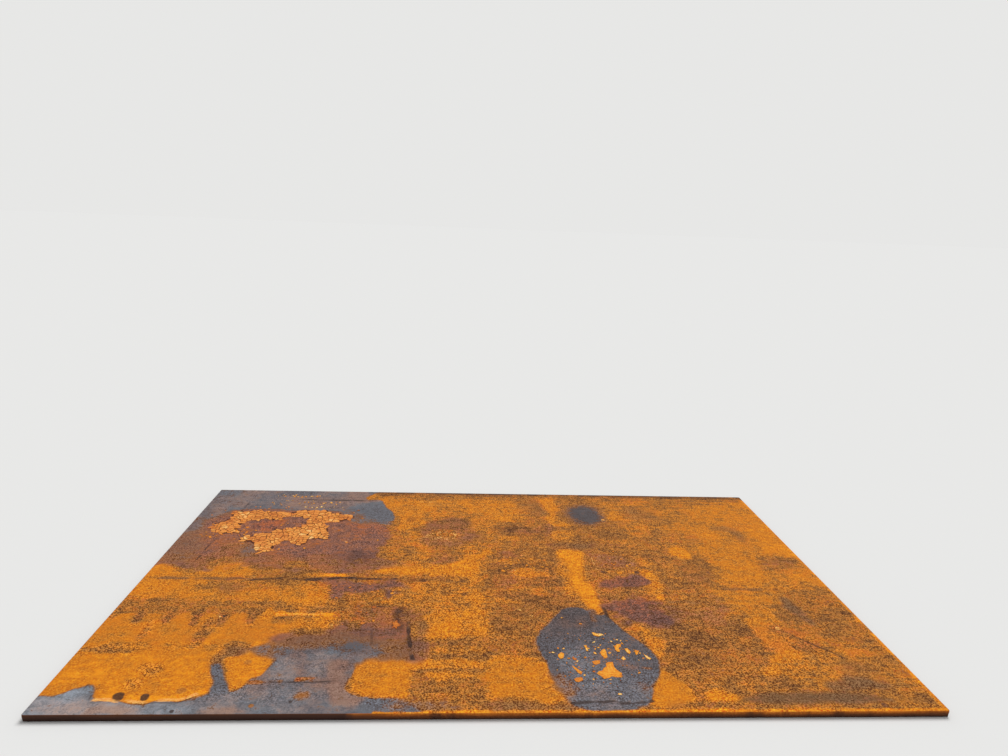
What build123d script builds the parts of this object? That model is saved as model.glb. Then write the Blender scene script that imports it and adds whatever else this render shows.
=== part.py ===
"""A rolled steel plate, cut to a stock size on a guillotine shear.

Millimetres. The plate lies flat: +X runs along its length, +Y along its width and
+Z up through its thickness. The origin is the centre of the underside.

The rolled faces are flat. Every cut edge has the section that a shear leaves: a rolled-over
shoulder where the blade bit, a smooth upright land below it, and then a fracture that
leans back under the land down to the underside.
"""

import os

from build123d import *

# Stock size
PLATE_LENGTH = 2438.4
PLATE_WIDTH = 1524.0
PLATE_THICKNESS = 19.05

# Section of a sheared edge, from the top face down
SHOULDER_RADIUS = 2.0
LAND_HEIGHT = 5.0
FRACTURE_LEAN_DEG = 4.0

# Corners knocked blunt in handling, seen in plan
CORNER_RADIUS = 6.0

# The fracture takes what the shoulder and the land leave of the thickness
FRACTURE_HEIGHT = PLATE_THICKNESS - SHOULDER_RADIUS - LAND_HEIGHT


def steel_plate():
    """The plate as one solid, built both ways from the foot of the land."""
    with BuildPart() as plate:
        with BuildSketch(Plane.XY.offset(FRACTURE_HEIGHT)) as land_foot:
            RectangleRounded(PLATE_LENGTH, PLATE_WIDTH, CORNER_RADIUS)
        extrude(land_foot.sketch, amount=-FRACTURE_HEIGHT, taper=FRACTURE_LEAN_DEG)
        extrude(land_foot.sketch, amount=LAND_HEIGHT + SHOULDER_RADIUS)
        top_face = plate.faces().sort_by(Axis.Z)[-1]
        fillet(top_face.edges(), radius=SHOULDER_RADIUS)
    return plate.part


os.makedirs("parts", exist_ok=True)
export_step(steel_plate(), "parts/steel_plate.step")
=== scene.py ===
"""Looks of a weathered steel plate that lies flat on a pale studio floor.

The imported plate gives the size. Its stand-in here is one closed mesh with the same sheared
edge, dense enough to carry the weathering: each kind of rust is a painted field on the
mesh, and one procedural material turns the fields into colour, roughness and fine relief.
Lifted crust and loose flakes are real geometry on top.

Places on the plate are in millimetres from its centre, x to the right and y away from the
camera, and are turned into metres when the meshes are made.
"""

import math

import bpy
import numpy as np
from mathutils import Euler, Matrix, Vector
from mathutils.geometry import delaunay_2d_cdt


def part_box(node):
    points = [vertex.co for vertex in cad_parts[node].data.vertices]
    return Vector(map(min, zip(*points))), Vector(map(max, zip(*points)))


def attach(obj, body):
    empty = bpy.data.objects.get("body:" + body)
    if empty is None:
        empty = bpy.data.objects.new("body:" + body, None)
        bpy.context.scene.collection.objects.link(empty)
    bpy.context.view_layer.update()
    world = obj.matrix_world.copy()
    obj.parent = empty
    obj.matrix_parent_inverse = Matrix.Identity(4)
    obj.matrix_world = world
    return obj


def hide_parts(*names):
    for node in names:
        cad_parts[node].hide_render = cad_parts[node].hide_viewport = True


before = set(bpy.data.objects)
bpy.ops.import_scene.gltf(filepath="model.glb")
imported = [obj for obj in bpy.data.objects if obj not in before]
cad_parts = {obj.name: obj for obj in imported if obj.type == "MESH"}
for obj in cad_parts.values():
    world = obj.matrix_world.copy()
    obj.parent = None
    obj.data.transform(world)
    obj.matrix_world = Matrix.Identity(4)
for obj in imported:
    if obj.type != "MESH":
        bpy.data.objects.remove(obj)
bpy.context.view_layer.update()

NODE = "steel_plate"
BODY = "root"
MM = 0.001

# Size of the plate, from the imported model
LOW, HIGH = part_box(NODE)
LENGTH = (HIGH.x - LOW.x) / MM
WIDTH = (HIGH.y - LOW.y) / MM
THICKNESS = (HIGH.z - LOW.z) / MM

# Section of the sheared edge, from the top face down
SHOULDER_RADIUS = 2.0
LAND_HEIGHT = 5.0
FRACTURE_LEAN = math.radians(4.0)
CORNER_RADIUS = 6.0

# Unevenness of that edge: how far the metal is bitten in on the land and on the fracture, and
# how far the foot of the land wavers up and down
LAND_BITE = 0.1
FRACTURE_BITE = 0.5
BITE_PERIOD = 18
BITE_SHIFT = 13.7
LAND_WAVER = 1.2
LAND_WAVER_PERIOD = 120

# The top face sinks a little towards the edge
RIM_DROP = 0.45
RIM_DROP_WIDTH = 5.0

# Relief of the top face, which fades in between two distances from the edge
ROLLED_WAVE = 0.10
ROLLED_PERIOD = 420
RUST_WAVE = 0.10
RUST_PERIOD = 36
CRUST_RISE = 0.15
STAIN_DIP = 0.12
RELIEF_START = 2
RELIEF_FULL = 30

# Mesh density: the lattices, the finer places along strokes, and the gap between the two
TOP_SPACING = 8.0
EDGE_SPACING = 6.0
UNDER_SPACING = 40.0
FINE_SPACING = 3.0
FINE_GAP = 5.0
FINE_STEP = 4.0
LATTICE_SCATTER = 0.12
CORNER_POINTS = 6
SHOULDER_ROWS = 4
LAND_ROWS = 2
FRACTURE_ROWS = 5
SHARP_ANGLE = math.radians(50)

# The painted fields and what they start from. fresh is how bright the rust is, from 0 for
# dark brown to 1 for the brightest orange; tone is how light the oxide and scale under it
# are; the others say how much of a thing covers the rust.
FIELDS = ("fresh", "grain", "red", "grey", "maroon", "scale", "tone", "film", "stain", "pale", "crust")
START = dict.fromkeys(FIELDS, 0.0) | {"fresh": 0.5, "tone": 0.5, "grain": 1.0}

# Periods of the noise by which rims and strokes wander, and by which strokes are worn away
PATCH_WANDER = 60
CRUST_WANDER = 50
STROKE_WANDER = 25
STROKE_WEAR = 45

# How uneven a stroke's width is, and how much of it the wear takes off, where that noise
# comes within a range
STROKE_UNEVEN = 0.45
WEAR_DEPTH = 0.7
WEAR_RANGE = (0.0, 0.7)

# Where a stroke or a dot starts to fade and where it ends, in shares of its half width or
# radius, and how far round it the mesh is looked through for it
STROKE_FADE = (0.6, 1.5)
STROKE_REACH = 4
DOT_FADE = (0.7, 1.15)
DOT_REACH = 2

# Columns of finer places across a stroke, and finer places round each ring of a dot's fade
STROKE_COLUMNS = 5
DOT_RING_COUNTS = (8, 12)

# First numbers of the random draws, so that every run gives the same plate
PATCH_SEED = 0
CRUST_SEED = 500
STROKE_SEED = 400
WEAR_SEED = 900
EDGE_SEED = 300
WAVER_SEED = 310
ROLLED_SEED = 71
RUST_SEED = 72
TILE_SEED = 40
TILE_TONE_SEED = 41
TILE_RIM_SEED = 42
FLAKE_SEED = 60
FLAKE_RIM_SEED = 61
WOBBLE_SEED = 77

# How far the seeds of one patch or stroke lie from those of the next
PATCH_SEED_STEP = 7
STROKE_SEED_STEP = 11
WEAR_SEED_STEP = 5

# The noise's table of random numbers is this wide, and after that many features it repeats
NOISE_TABLE = 64

# Tiles of the crust, in shares of their spacing: scatter of their middles, share of the
# middles that is kept, size of the square that is cut to a tile, and how far off it is cut
TILE_SCATTER = 0.48
TILE_SHARE = 0.72
TILE_HALF_SIZE = 1.1
TILE_REACH = 2.6
CRACK_VARIES = (0.2, 1.8)

# Tone of the tiles: its middle, how far it drifts over the crust, and how far a tile may be off
TILE_TONE = 0.75
TILE_TONE_DRIFT = 0.12
TILE_TONE_PERIOD = 60
TILE_TONE_SPREAD = (-0.24, 0.16)

# How tiles and flakes lie: sunk into the plate, with a curled rim and a thickness from a range
TILE_SINK = 0.25
TILE_CURL = (0.1, 1.1)
TILE_THICKNESS = (0.5, 0.8)
FLAKE_SINK = 0.2
FLAKE_CURL = (0.1, 0.9)
FLAKE_THICKNESS = (0.5, 0.9)

# Their worn rims: distance between two points, and how far they are moved by noise, whose
# period is a multiple of that distance
TILE_RIM_SPACING = 5.0
TILE_RIM_WANDER = 1.6
FLAKE_RIM_SPACING = 3.0
FLAKE_RIM_WANDER = 1.1
RIM_WANDER_PERIOD = 3.5
RIM_SEED_ACROSS = 50

# A flake has a ring inside its rim, where less of the curl is left, and painted shading for both
# rings and its middle: painted shade darkens the outer ring under the curled rim, and painted
# light brightens the middle a little
INNER_RING = 0.6
INNER_CURL = 0.3
CHIP_PAINTED_SHADING = (-0.1, 0.0, 0.04)

# A flake or tile is also wavy, by a share of its curl
WOBBLE_SHARE = 0.35
WOBBLE_PERIOD = 14

# A crumb: its corners, how slim it is and how far its corners stand out, in shares of its
# size. Most crumbs of a patch are small, which the power sees to.
CRUMB_CORNERS = 9
CRUMB_SLIMNESS = (0.45, 0.9)
CRUMB_CORNER_REACH = (0.6, 1.2)
CRUMB_SIZE_POWER = 2.5
CRUMB_TONE_SPREAD = 0.15
CRUMB_TRIES = 6

# Gloss of the materials: all rust is dull, and mill scale a little less so
SPECULAR = 0.12
RUST_ROUGHNESS = 0.9
SCALE_ROUGHNESS = 0.6

# The camera, which stands where the plate is seen as in the photograph
CAMERA_PLACE = (-0.1401, -2.382, 1.2783)
CAMERA_YAW = math.radians(-3.69)
CAMERA_PITCH = math.radians(12.53)
CAMERA_ROLL = math.radians(-2.23)
CAMERA_LENS = 25.37
CAMERA_SENSOR = 36.0

# The studio: a pale floor and backdrop, soft light from all sides and a broad sun
FLOOR_SIZE = 200
FLOOR_GAP = 0.0005
FLOOR_COLOUR = (0.8, 0.8, 0.79, 1)
SKY_STRENGTH = 0.45
SUN_STRENGTH = 2.1
SUN_BREADTH = math.radians(35)
SUN_DIRECTION = (-0.35, -0.55, -1)

# Patches: (field, value, softness of the rim, raggedness of the rim, outline)
PATCHES = [
    # Duller and brighter rust, the broad areas of the far half first
    ("fresh", 0.62, 30, 20, [(-125, 250), (0, 250), (0, -560), (-110, -560)]),
    ("fresh", 0.71, 35, 40, [
        (-560, 800), (-545, 690), (-490, 640), (-430, 540), (-405, 460), (-420, 300), (-400, 180),
        (-330, 160), (-300, 300), (-260, 480), (-190, 530), (-120, 460), (-60, 400), (-30, 300),
        (15, 300), (30, 420), (110, 470), (150, 520), (190, 620), (230, 800)]),
    ("fresh", 0.62, 50, 40, [
        (540, 800), (525, 600), (600, 470), (565, 330), (600, 240), (800, 230), (1240, 230),
        (1240, 800)]),
    ("fresh", 0.66, 60, 40, [
        (770, 430), (780, 100), (800, -60), (780, -320), (900, -360), (1240, -400), (1240, 430)]),
    ("fresh", 0.57, 30, 20, [(1080, -600), (1240, -500), (1240, -760), (1080, -760)]),
    ("fresh", 0.71, 30, 30, [
        (860, 310), (880, 370), (920, 470), (900, 560), (980, 650), (1100, 700), (1240, 740),
        (1240, 430), (1100, 440), (1060, 470), (980, 440), (950, 390), (1010, 330), (1040, 260),
        (1000, 200), (920, 210), (880, 250)]),
    ("fresh", 0.84, 25, 25, [
        (1090, 160), (1080, 260), (1110, 360), (1160, 430), (1240, 450), (1240, 150)]),
    ("fresh", 0.62, 30, 30, [(-240, 560), (-20, 530), (10, 350), (-120, 340)]),
    ("fresh", 0.38, 30, 30, [
        (15, 400), (120, 410), (210, 400), (300, 390), (280, 330), (180, 310), (60, 320), (10, 350)]),
    ("fresh", 0.38, 40, 30, [
        (10, 150), (100, 160), (230, 150), (250, 100), (240, -20), (220, -160), (240, -250),
        (140, -260), (10, -240), (0, -120), (0, 60)]),
    ("fresh", 0.34, 16, 20, [(30, 60), (120, 70), (190, 50), (180, 20), (100, 30), (30, 25)]),
    ("fresh", 0.58, 12, 20, [
        (-20, 100), (60, 105), (130, 90), (210, 100), (215, 75), (120, 65), (-20, 80)]),
    ("fresh", 0.6, 12, 20, [
        (-10, -190), (60, -185), (200, -195), (215, -225), (90, -222), (-10, -215)]),
    ("fresh", 0.42, 16, 20, [(20, 170), (100, 180), (160, 150), (100, 130), (20, 130)]),
    ("fresh", 0.46, 35, 30, [
        (570, 130), (700, 110), (830, 130), (830, 10), (800, -80), (640, -110), (590, -60)]),
    ("fresh", 0.56, 24, 20, [(600, 50), (700, 50), (710, -50), (610, -50)]),
    ("fresh", 0.43, 60, 40, [
        (590, -290), (700, -290), (810, -290), (810, -420), (770, -520), (600, -560), (500, -500),
        (520, -400)]),
    ("fresh", 0.47, 30, 30, [
        (1030, 130), (1120, 140), (1190, 110), (1180, 30), (1100, 10), (1040, 50)]),
    ("fresh", 0.51, 20, 20, [
        (-250, -625), (-150, -628), (-45, -625), (-45, -745), (-150, -748), (-250, -735)]),
    ("fresh", 0.42, 12, 12, [
        (-250, -425), (-120, -428), (-20, -425), (-20, -468), (-150, -466), (-250, -470)]),
    ("fresh", 0.46, 8, 8, [(-240, -508), (-20, -508), (-20, -528), (-240, -528)]),
    ("fresh", 0.44, 6, 8, [(-240, -572), (-30, -572), (-30, -585), (-240, -584)]),
    ("fresh", 0.70, 40, 40, [
        (-1240, -60), (-1000, -60), (-880, -80), (-640, -100), (-560, -180), (-640, -250),
        (-1240, -270)]),
    ("fresh", 0.74, 20, 25, [
        (-1240, 70), (-1190, 48), (-1150, 12), (-1100, 0), (-1040, 8), (-1000, 15), (-960, 40),
        (-900, 20), (-870, -25), (-900, -60), (-1000, -80), (-1010, -150), (-1120, -180), (-1240, -200)]),
    ("fresh", 0.72, 16, 20, [
        (-830, -140), (-780, -125), (-730, -150), (-690, -130), (-640, -140), (-640, -200),
        (-700, -215), (-760, -205), (-830, -220)]),
    ("fresh", 0.76, 20, 25, [
        (-700, -300), (-640, -295), (-560, -290), (-515, -300), (-520, -340), (-570, -350),
        (-640, -350), (-700, -335)]),
    ("fresh", 0.50, 24, 20, [
        (-1240, -205), (-1000, -195), (-850, -210), (-720, -230), (-640, -270), (-720, -340),
        (-1240, -340)]),
    # The big bloom at the near left, with the fingers along its far side
    ("fresh", 0.78, 7, 5, [
        (-1240, -330), (-1200, -330), (-1182, -294), (-1150, -290), (-1137, -330), (-1118, -338),
        (-1103, -298), (-1065, -290), (-1052, -328), (-1022, -333), (-1007, -292), (-975, -290),
        (-958, -336), (-940, -338), (-924, -292), (-890, -288), (-880, -340), (-862, -352),
        (-846, -332), (-832, -292), (-800, -292), (-790, -333), (-770, -335), (-755, -280),
        (-735, -245), (-712, -285), (-708, -345), (-652, -350), (-640, -400), (-645, -430),
        (-665, -460), (-740, -450), (-800, -440), (-838, -500), (-812, -600), (-790, -660),
        (-840, -696), (-943, -716), (-1062, -704), (-1100, -640), (-1140, -665), (-1240, -694)]),
    ("fresh", 0.87, 25, 30, [
        (-1240, -500), (-1100, -500), (-900, -495), (-860, -440), (-810, -500), (-812, -600),
        (-798, -660), (-840, -696), (-943, -716), (-1062, -704), (-1100, -640), (-1140, -665),
        (-1240, -694)]),
    ("fresh", 0.60, 10, 12, [(-1210, -464), (-1080, -464), (-1067, -496), (-1200, -498)]),
    ("fresh", 0.70, 12, 16, [(-1060, -452), (-850, -452), (-860, -478), (-1060, -488)]),
    ("fresh", 0.56, 8, 12, [(-914, -330), (-885, -330), (-880, -400), (-890, -470), (-915, -460)]),
    ("fresh", 0.60, 8, 12, [(-1085, -330), (-1060, -330), (-1060, -430), (-1085, -430)]),
    ("fresh", 0.86, 7, 4, [
        (-788, -520), (-755, -515), (-738, -480), (-735, -430), (-708, -430), (-708, -480),
        (-700, -512), (-662, -512), (-655, -545), (-662, -600), (-692, -612), (-708, -650),
        (-728, -662), (-748, -650), (-755, -620), (-778, -560)]),
    # How strong the grain is on the bloom: calm on the bright parts, strong in its dark gaps
    ("grain", 1.4, 60, 30, [
        (-260, 320), (300, 320), (600, 200), (790, 60), (820, -400), (920, -640), (500, -660),
        (480, -300), (200, -200), (-30, -260), (-30, -420), (-240, -240)]),
    ("grain", 0.4, 20, 20, [
        (-1240, -300), (-720, -300), (-640, -360), (-680, -450), (-820, -480), (-780, -680),
        (-840, -710), (-1240, -680)]),
    ("grain", 0.5, 10, 6, [(-797, -515), (-655, -515), (-668, -602), (-746, -655)]),
    ("grain", 0.9, 12, 16, [(-1210, -462), (-1080, -462), (-1065, -497), (-1200, -500)]),
    ("grain", 0.6, 12, 16, [(-1060, -450), (-850, -450), (-860, -480), (-1060, -492)]),
    ("grain", 1.4, 10, 12, [(-914, -330), (-885, -330), (-880, -400), (-890, -470), (-915, -460)]),
    ("grain", 1.4, 10, 12, [(-1085, -330), (-1060, -330), (-1060, -430), (-1085, -430)]),
    ("grain", 1.5, 14, 12, [(-1010, -550), (-960, -550), (-960, -590), (-1010, -585)]),
    ("grain", 1.5, 14, 12, [(-1020, -620), (-975, -620), (-980, -655), (-1015, -650)]),
    ("fresh", 0.68, 14, 12, [(-1010, -550), (-960, -550), (-960, -590), (-1010, -585)]),
    ("fresh", 0.68, 14, 12, [(-1020, -620), (-975, -620), (-980, -655), (-1015, -650)]),
    # The bright band across the middle left and down to the near side
    ("fresh", 0.80, 18, 25, [
        (-400, 50), (-340, 55), (-260, 40), (-200, 50), (-120, 110), (-60, 150), (0, 190), (-10, 130),
        (-50, 90), (-60, 20), (-80, -30), (-150, -30), (-220, -20), (-300, -15), (-395, -10)]),
    ("fresh", 0.82, 10, 18, [
        (-110, 20), (-55, 30), (-60, -40), (-75, -80), (-45, -140), (-40, -220), (-50, -300),
        (-100, -300), (-95, -200), (-90, -120), (-85, -60), (-110, -10)]),
    ("fresh", 0.76, 14, 20, [
        (-290, -120), (-230, -110), (-170, -120), (-120, -140), (-140, -185), (-230, -198),
        (-290, -170)]),
    ("fresh", 0.78, 18, 22, [
        (-205, -255), (-120, -250), (-60, -240), (-35, -300), (-40, -390), (-70, -430), (-190, -425),
        (-215, -360)]),
    ("fresh", 0.76, 10, 12, [
        (-290, -535), (-180, -532), (-30, -534), (-30, -566), (-160, -568), (-290, -568)]),
    ("fresh", 0.76, 10, 12, [(-200, -588), (-50, -588), (-45, -618), (-190, -620)]),
    ("fresh", 0.60, 8, 12, [(-230, -476), (-50, -475), (-45, -502), (-220, -504)]),
    # The run that fell on the plate, in two lengths
    ("fresh", 0.70, 22, 14, [
        (250, 168), (340, 170), (345, 60), (345, -60), (345, -140), (250, -170), (246, -60), (250, 60)]),
    ("fresh", 0.94, 15, 8, [
        (262, 168), (356, 170), (352, 100), (340, 40), (330, -32), (343, -122), (356, -238),
        (335, -275), (305, -235), (288, -123), (284, -15), (290, 83)]),
    ("fresh", 0.74, 16, 14, [
        (240, 715), (300, 690), (318, 590), (305, 520), (330, 440), (355, 400), (300, 400), (262, 430),
        (245, 480), (258, 560)]),
    ("fresh", 0.66, 20, 14, [(255, 360), (345, 360), (350, 260), (255, 260)]),
    ("fresh", 0.70, 12, 14, [(20, 300), (60, 310), (110, 290), (90, 250), (30, 240)]),
    ("fresh", 0.72, 10, 14, [(-50, 360), (-10, 370), (5, 300), (-30, 280)]),
    # Bright patches near the front and on the right
    ("fresh", 0.86, 8, 7, [(-548, -681), (-526, -677), (-520, -690), (-535, -700), (-552, -696)]),
    ("fresh", 0.82, 8, 8, [
        (-426, -545), (-410, -533), (-382, -526), (-353, -530), (-327, -520), (-297, -528),
        (-262, -552), (-252, -670), (-269, -701), (-349, -692), (-381, -697), (-404, -678),
        (-419, -663), (-420, -603)]),
    ("fresh", 0.46, 30, 30, [(-30, -420), (60, -420), (130, -430), (140, -540), (-20, -540)]),
    ("fresh", 0.77, 14, 16, [
        (-40, -530), (20, -520), (90, -530), (140, -560), (155, -640), (175, -700), (130, -714),
        (50, -714), (-45, -708), (-35, -620)]),
    ("fresh", 0.82, 8, 8, [
        (468, -572), (502, -612), (528, -662), (530, -706), (495, -735), (440, -748), (400, -735),
        (420, -680), (440, -630)]),
    ("fresh", 0.84, 10, 8, [
        (565, -690), (600, -676), (645, -684), (664, -708), (640, -722), (570, -720)]),
    ("fresh", 0.72, 20, 22, [
        (420, -340), (480, -340), (500, -400), (495, -500), (470, -520), (455, -420)]),
    ("fresh", 0.73, 20, 24, [
        (820, -330), (830, -290), (870, -265), (930, -270), (950, -300), (900, -330), (880, -380),
        (950, -480), (1010, -560), (1000, -600), (870, -590), (780, -590), (830, -520), (830, -430)]),
    # Smaller lighter and darker places all over the plate
    ("fresh", 0.49, 30, 30, [
        (980, -150), (1210, -160), (1210, -480), (1100, -480), (1010, -400), (960, -330)]),
    ("fresh", 0.58, 24, 24, [(-960, -60), (-720, -60), (-720, -140), (-960, -140)]),
    ("fresh", 0.64, 30, 24, [(-480, -165), (-120, -40), (-110, -260), (-240, -260), (-470, -230)]),
    ("fresh", 0.60, 24, 20, [(-110, 420), (0, 420), (10, 300), (-60, 260), (-120, 300)]),
    ("fresh", 0.52, 24, 20, [(130, 150), (240, 150), (240, 60), (130, 60)]),
    ("fresh", 0.62, 24, 20, [(860, -550), (1080, -460), (1120, -560), (1000, -660), (860, -650)]),
    ("fresh", 0.46, 24, 24, [(960, -250), (1080, -250), (1090, -340), (990, -345)]),
    ("fresh", 0.42, 24, 20, [(0, -250), (190, -250), (110, -380), (0, -380)]),
    ("fresh", 0.40, 24, 20, [(120, -160), (240, -160), (240, -240), (120, -250)]),
    ("fresh", 0.62, 24, 20, [(-390, 200), (-240, 190), (-240, 50), (-390, 60)]),
    ("fresh", 0.45, 20, 16, [(-235, 140), (-130, 140), (-135, 75), (-235, 60)]),
    ("fresh", 0.6, 20, 16, [(100, 760), (228, 760), (218, 640), (120, 640)]),
    ("fresh", 0.54, 20, 16, [(-430, 770), (100, 770), (100, 700), (-420, 690)]),
    ("fresh", 0.5, 20, 16, [(360, 770), (720, 770), (720, 700), (380, 690)]),
    ("fresh", 0.74, 40, 40, [
        (860, 200), (920, 240), (1010, 200), (1030, 0), (1000, -90), (920, -100), (870, -40)]),
    ("fresh", 0.74, 12, 10, [(1100, -20), (1150, -5), (1190, -25), (1175, -65), (1120, -60)]),
    ("fresh", 0.86, 14, 8, [(712, 170), (735, 215), (775, 205), (790, 160), (765, 115), (730, 118)]),
    ("fresh", 0.72, 12, 20, [
        (550, 20), (590, 10), (605, -60), (600, -140), (610, -190), (560, -200), (550, -120),
        (560, -40)]),
    ("fresh", 0.68, 16, 20, [(90, 25), (190, 20), (200, -30), (100, -40)]),
    ("fresh", 0.58, 16, 20, [(50, -90), (100, -85), (170, -130), (160, -175), (100, -150), (50, -140)]),
    ("fresh", 0.70, 16, 20, [
        (780, -140), (900, -145), (1010, -150), (1000, -200), (880, -210), (790, -190)]),
    ("fresh", 0.66, 20, 20, [(540, 170), (600, 140), (610, 60), (560, 80)]),
    ("fresh", 0.76, 14, 16, [(530, 570), (575, 580), (600, 520), (570, 480), (530, 490)]),
    ("fresh", 0.52, 30, 24, [(610, 350), (840, 350), (840, 255), (610, 255)]),
    ("fresh", 0.55, 20, 16, [(0, 245), (120, 245), (120, 185), (0, 185)]),
    # Redder rust
    ("red", 0.2, 40, 30, [(-1240, -300), (-700, -300), (-650, -400), (-680, -440), (-1240, -440)]),
    ("red", 0.1, 30, 30, [(-560, -80), (-300, -80), (-300, -160), (-520, -165)]),
    ("red", 0.12, 30, 30, [(-500, -210), (-330, -240), (-260, -280), (-360, -370), (-500, -330)]),
    ("red", 0.15, 40, 40, [(-1150, 300), (-980, 240), (-700, 200), (-640, 120), (-1100, 80)]),
    ("red", 0.25, 30, 20, [(-560, 420), (-430, 400), (-430, 320), (-560, 330)]),
    ("red", 0.35, 40, 30, [(800, -360), (960, -380), (960, -480), (820, -470)]),
    ("fresh", 0.5, 30, 24, [(-430, 340), (-340, 340), (-310, 200), (-420, 190)]),
    # Calm grain on what is bright, far or blue, and strong grain where the rust is dark
    ("grain", 0.55, 20, 16, [
        (285, 170), (335, 170), (345, -100), (356, -235), (305, -235), (280, -60)]),
    ("grain", 0.6, 24, 16, [
        (-430, -548), (-388, -510), (-270, -530), (-250, -600), (-270, -692), (-412, -655)]),
    ("grain", 0.6, 24, 16, [(-40, -530), (140, -560), (175, -700), (-45, -708)]),
    ("grain", 0.5, 10, 10, [(468, -572), (528, -662), (495, -735), (400, -735)]),
    ("grain", 0.7, 30, 20, [(-1240, 60), (-700, 20), (-640, -100), (-700, -250), (-1240, -280)]),
    ("grain", 0.55, 40, 20, [(780, 280), (760, 120), (820, -80), (1240, -80), (1240, 760), (700, 760)]),
    ("grain", 0.65, 50, 20, [(800, -60), (1240, -60), (1240, -780), (840, -700), (800, -420)]),
    ("grain", 0.9, 20, 20, [(800, -440), (950, -460), (1000, -600), (820, -600)]),
    ("grain", 0.3, 14, 10, [(655, -700), (900, -684), (1150, -704), (1120, -732), (700, -732)]),
    ("grain", 0.5, 40, 20, [
        (-690, -455), (-640, -415), (-440, -375), (-270, -400), (-262, -520), (-440, -560),
        (-450, -690), (-680, -690)]),
    ("grain", 1.2, 40, 20, [(560, -280), (780, -300), (790, -560), (540, -600)]),
    ("grain", 0.25, 30, 10, [(-1240, -680), (-800, -700), (-400, -710), (-400, -780), (-1240, -780)]),
    # Dark red-brown oxide
    ("maroon", 1.35, 26, 26, [
        (-1240, 520), (-1150, 540), (-1090, 570), (-600, 560), (-500, 470), (-430, 405), (-424, 340),
        (-415, 285), (-425, 240), (-430, 190), (-420, 130), (-398, 60), (-405, 15), (-500, 0),
        (-620, 5), (-680, 30), (-760, 45), (-880, 55), (-960, 80), (-1000, 30), (-1100, 10),
        (-1130, 30), (-1180, 50), (-1240, 70)]),
    ("maroon", 1.3, 12, 14, [
        (-1240, 420), (-1050, 420), (-1010, 240), (-1000, 110), (-1010, 40), (-1053, 14), (-1100, 24),
        (-1159, 45), (-1240, 60)]),
    ("maroon", 0.55, 30, 30, [
        (-1050, 230), (-940, 230), (-860, 150), (-850, 60), (-980, 30), (-1030, 60)]),
    ("maroon", 0.6, 40, 40, [(-1240, 130), (-400, 110), (-400, 0), (-1240, 30)]),
    ("maroon", 0.2, 14, 20, [(-1010, 110), (-960, 100), (-930, 30), (-1010, 10)]),
    ("maroon", 0.1, 10, 12, [(-760, 65), (-700, 65), (-670, 20), (-760, 10)]),
    ("maroon", 0.95, 30, 40, [
        (-575, -66), (-500, -65), (-420, -60), (-320, -64), (-300, -110), (-350, -150), (-450, -165),
        (-520, -165), (-565, -140)]),
    ("maroon", 0.5, 44, 36, [
        (-550, -235), (-420, -240), (-300, -240), (-235, -250), (-250, -330), (-320, -390),
        (-400, -370), (-440, -300), (-540, -270)]),
    ("maroon", 0.9, 26, 30, [
        (-676, -440), (-624, -404), (-568, -382), (-503, -360), (-448, -368), (-405, -340),
        (-300, -370), (-262, -430), (-258, -520), (-300, -505), (-345, -515), (-380, -470),
        (-525, -460), (-610, -465)]),
    ("maroon", 0.85, 26, 34, [
        (372, -70), (437, -50), (518, -20), (560, -50), (560, -94), (457, -122), (369, -116)]),
    ("red", 0.15, 30, 20, [(370, -70), (560, -60), (570, -340), (400, -340)]),
    ("maroon", 0.95, 30, 36, [
        (385, -185), (440, -190), (500, -198), (555, -203), (568, -250), (562, -320), (520, -340),
        (480, -335), (430, -320), (390, -268)]),
    ("maroon", 0.5, 34, 20, [(395, 150), (480, 150), (550, 110), (545, 50), (480, 30), (400, 50)]),
    ("maroon", 0.38, 24, 20, [
        (70, 360), (110, 385), (170, 400), (208, 388), (202, 340), (150, 330), (90, 335)]),
    ("maroon", 0.5, 20, 16, [(225, 420), (270, 412), (292, 380), (260, 325), (225, 330)]),
    ("maroon", 0.45, 26, 20, [
        (-230, 450), (-180, 500), (-105, 470), (-80, 380), (-70, 280), (-110, 210), (-200, 190),
        (-270, 230), (-295, 320), (-280, 400)]),
    ("maroon", 0.15, 16, 14, [
        (-272, 290), (-243, 325), (-183, 352), (-132, 320), (-140, 270), (-202, 282), (-241, 245)]),
    ("fresh", 0.36, 24, 20, [(-230, 440), (-111, 476), (-90, 387), (-101, 345), (-220, 345)]),
    ("fresh", 0.5, 24, 16, [
        (-230, 340), (-100, 345), (-10, 340), (-10, 255), (-100, 240), (-230, 250)]),
    ("maroon", 0.4, 20, 20, [(-210, 120), (-140, 120), (-140, 70), (-210, 70)]),
    ("maroon", 0.4, 34, 30, [
        (570, -230), (700, -235), (770, -210), (790, -260), (780, -305), (740, -330), (650, -320),
        (580, -300)]),
    ("maroon", 0.45, 20, 20, [(15, -50), (80, -40), (90, -80), (30, -95)]),
    ("maroon", 0.4, 20, 20, [(35, 165), (80, 170), (80, 130), (35, 130)]),
    ("maroon", 0.3, 30, 24, [(680, -10), (760, -10), (770, -60), (700, -70)]),
    ("maroon", 0.3, 30, 20, [(1050, 110), (1160, 110), (1170, 50), (1060, 40)]),
    ("maroon", 0.55, 40, 10, [
        (425, 650), (480, 620), (500, 530), (490, 440), (430, 410), (375, 440), (360, 530), (375, 620)]),
    # Blue-grey mill scale
    ("scale", 1.0, 8, 10, [
        (-1240, 800), (-542, 800), (-546, 700), (-530, 672), (-490, 655), (-465, 620), (-450, 580),
        (-412, 515), (-402, 455), (-425, 425), (-500, 436), (-560, 490), (-620, 525), (-900, 540),
        (-1050, 540), (-1100, 550), (-1130, 500), (-1240, 480)]),
    ("scale", 0.62, 20, 14, [
        (-640, 560), (-540, 500), (-470, 450), (-425, 440), (-410, 400), (-520, 405), (-640, 470)]),
    ("scale", 0.8, 50, 30, [
        (-1240, 800), (-1050, 780), (-1070, 560), (-1120, 500), (-1150, 420), (-1170, 330),
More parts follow.
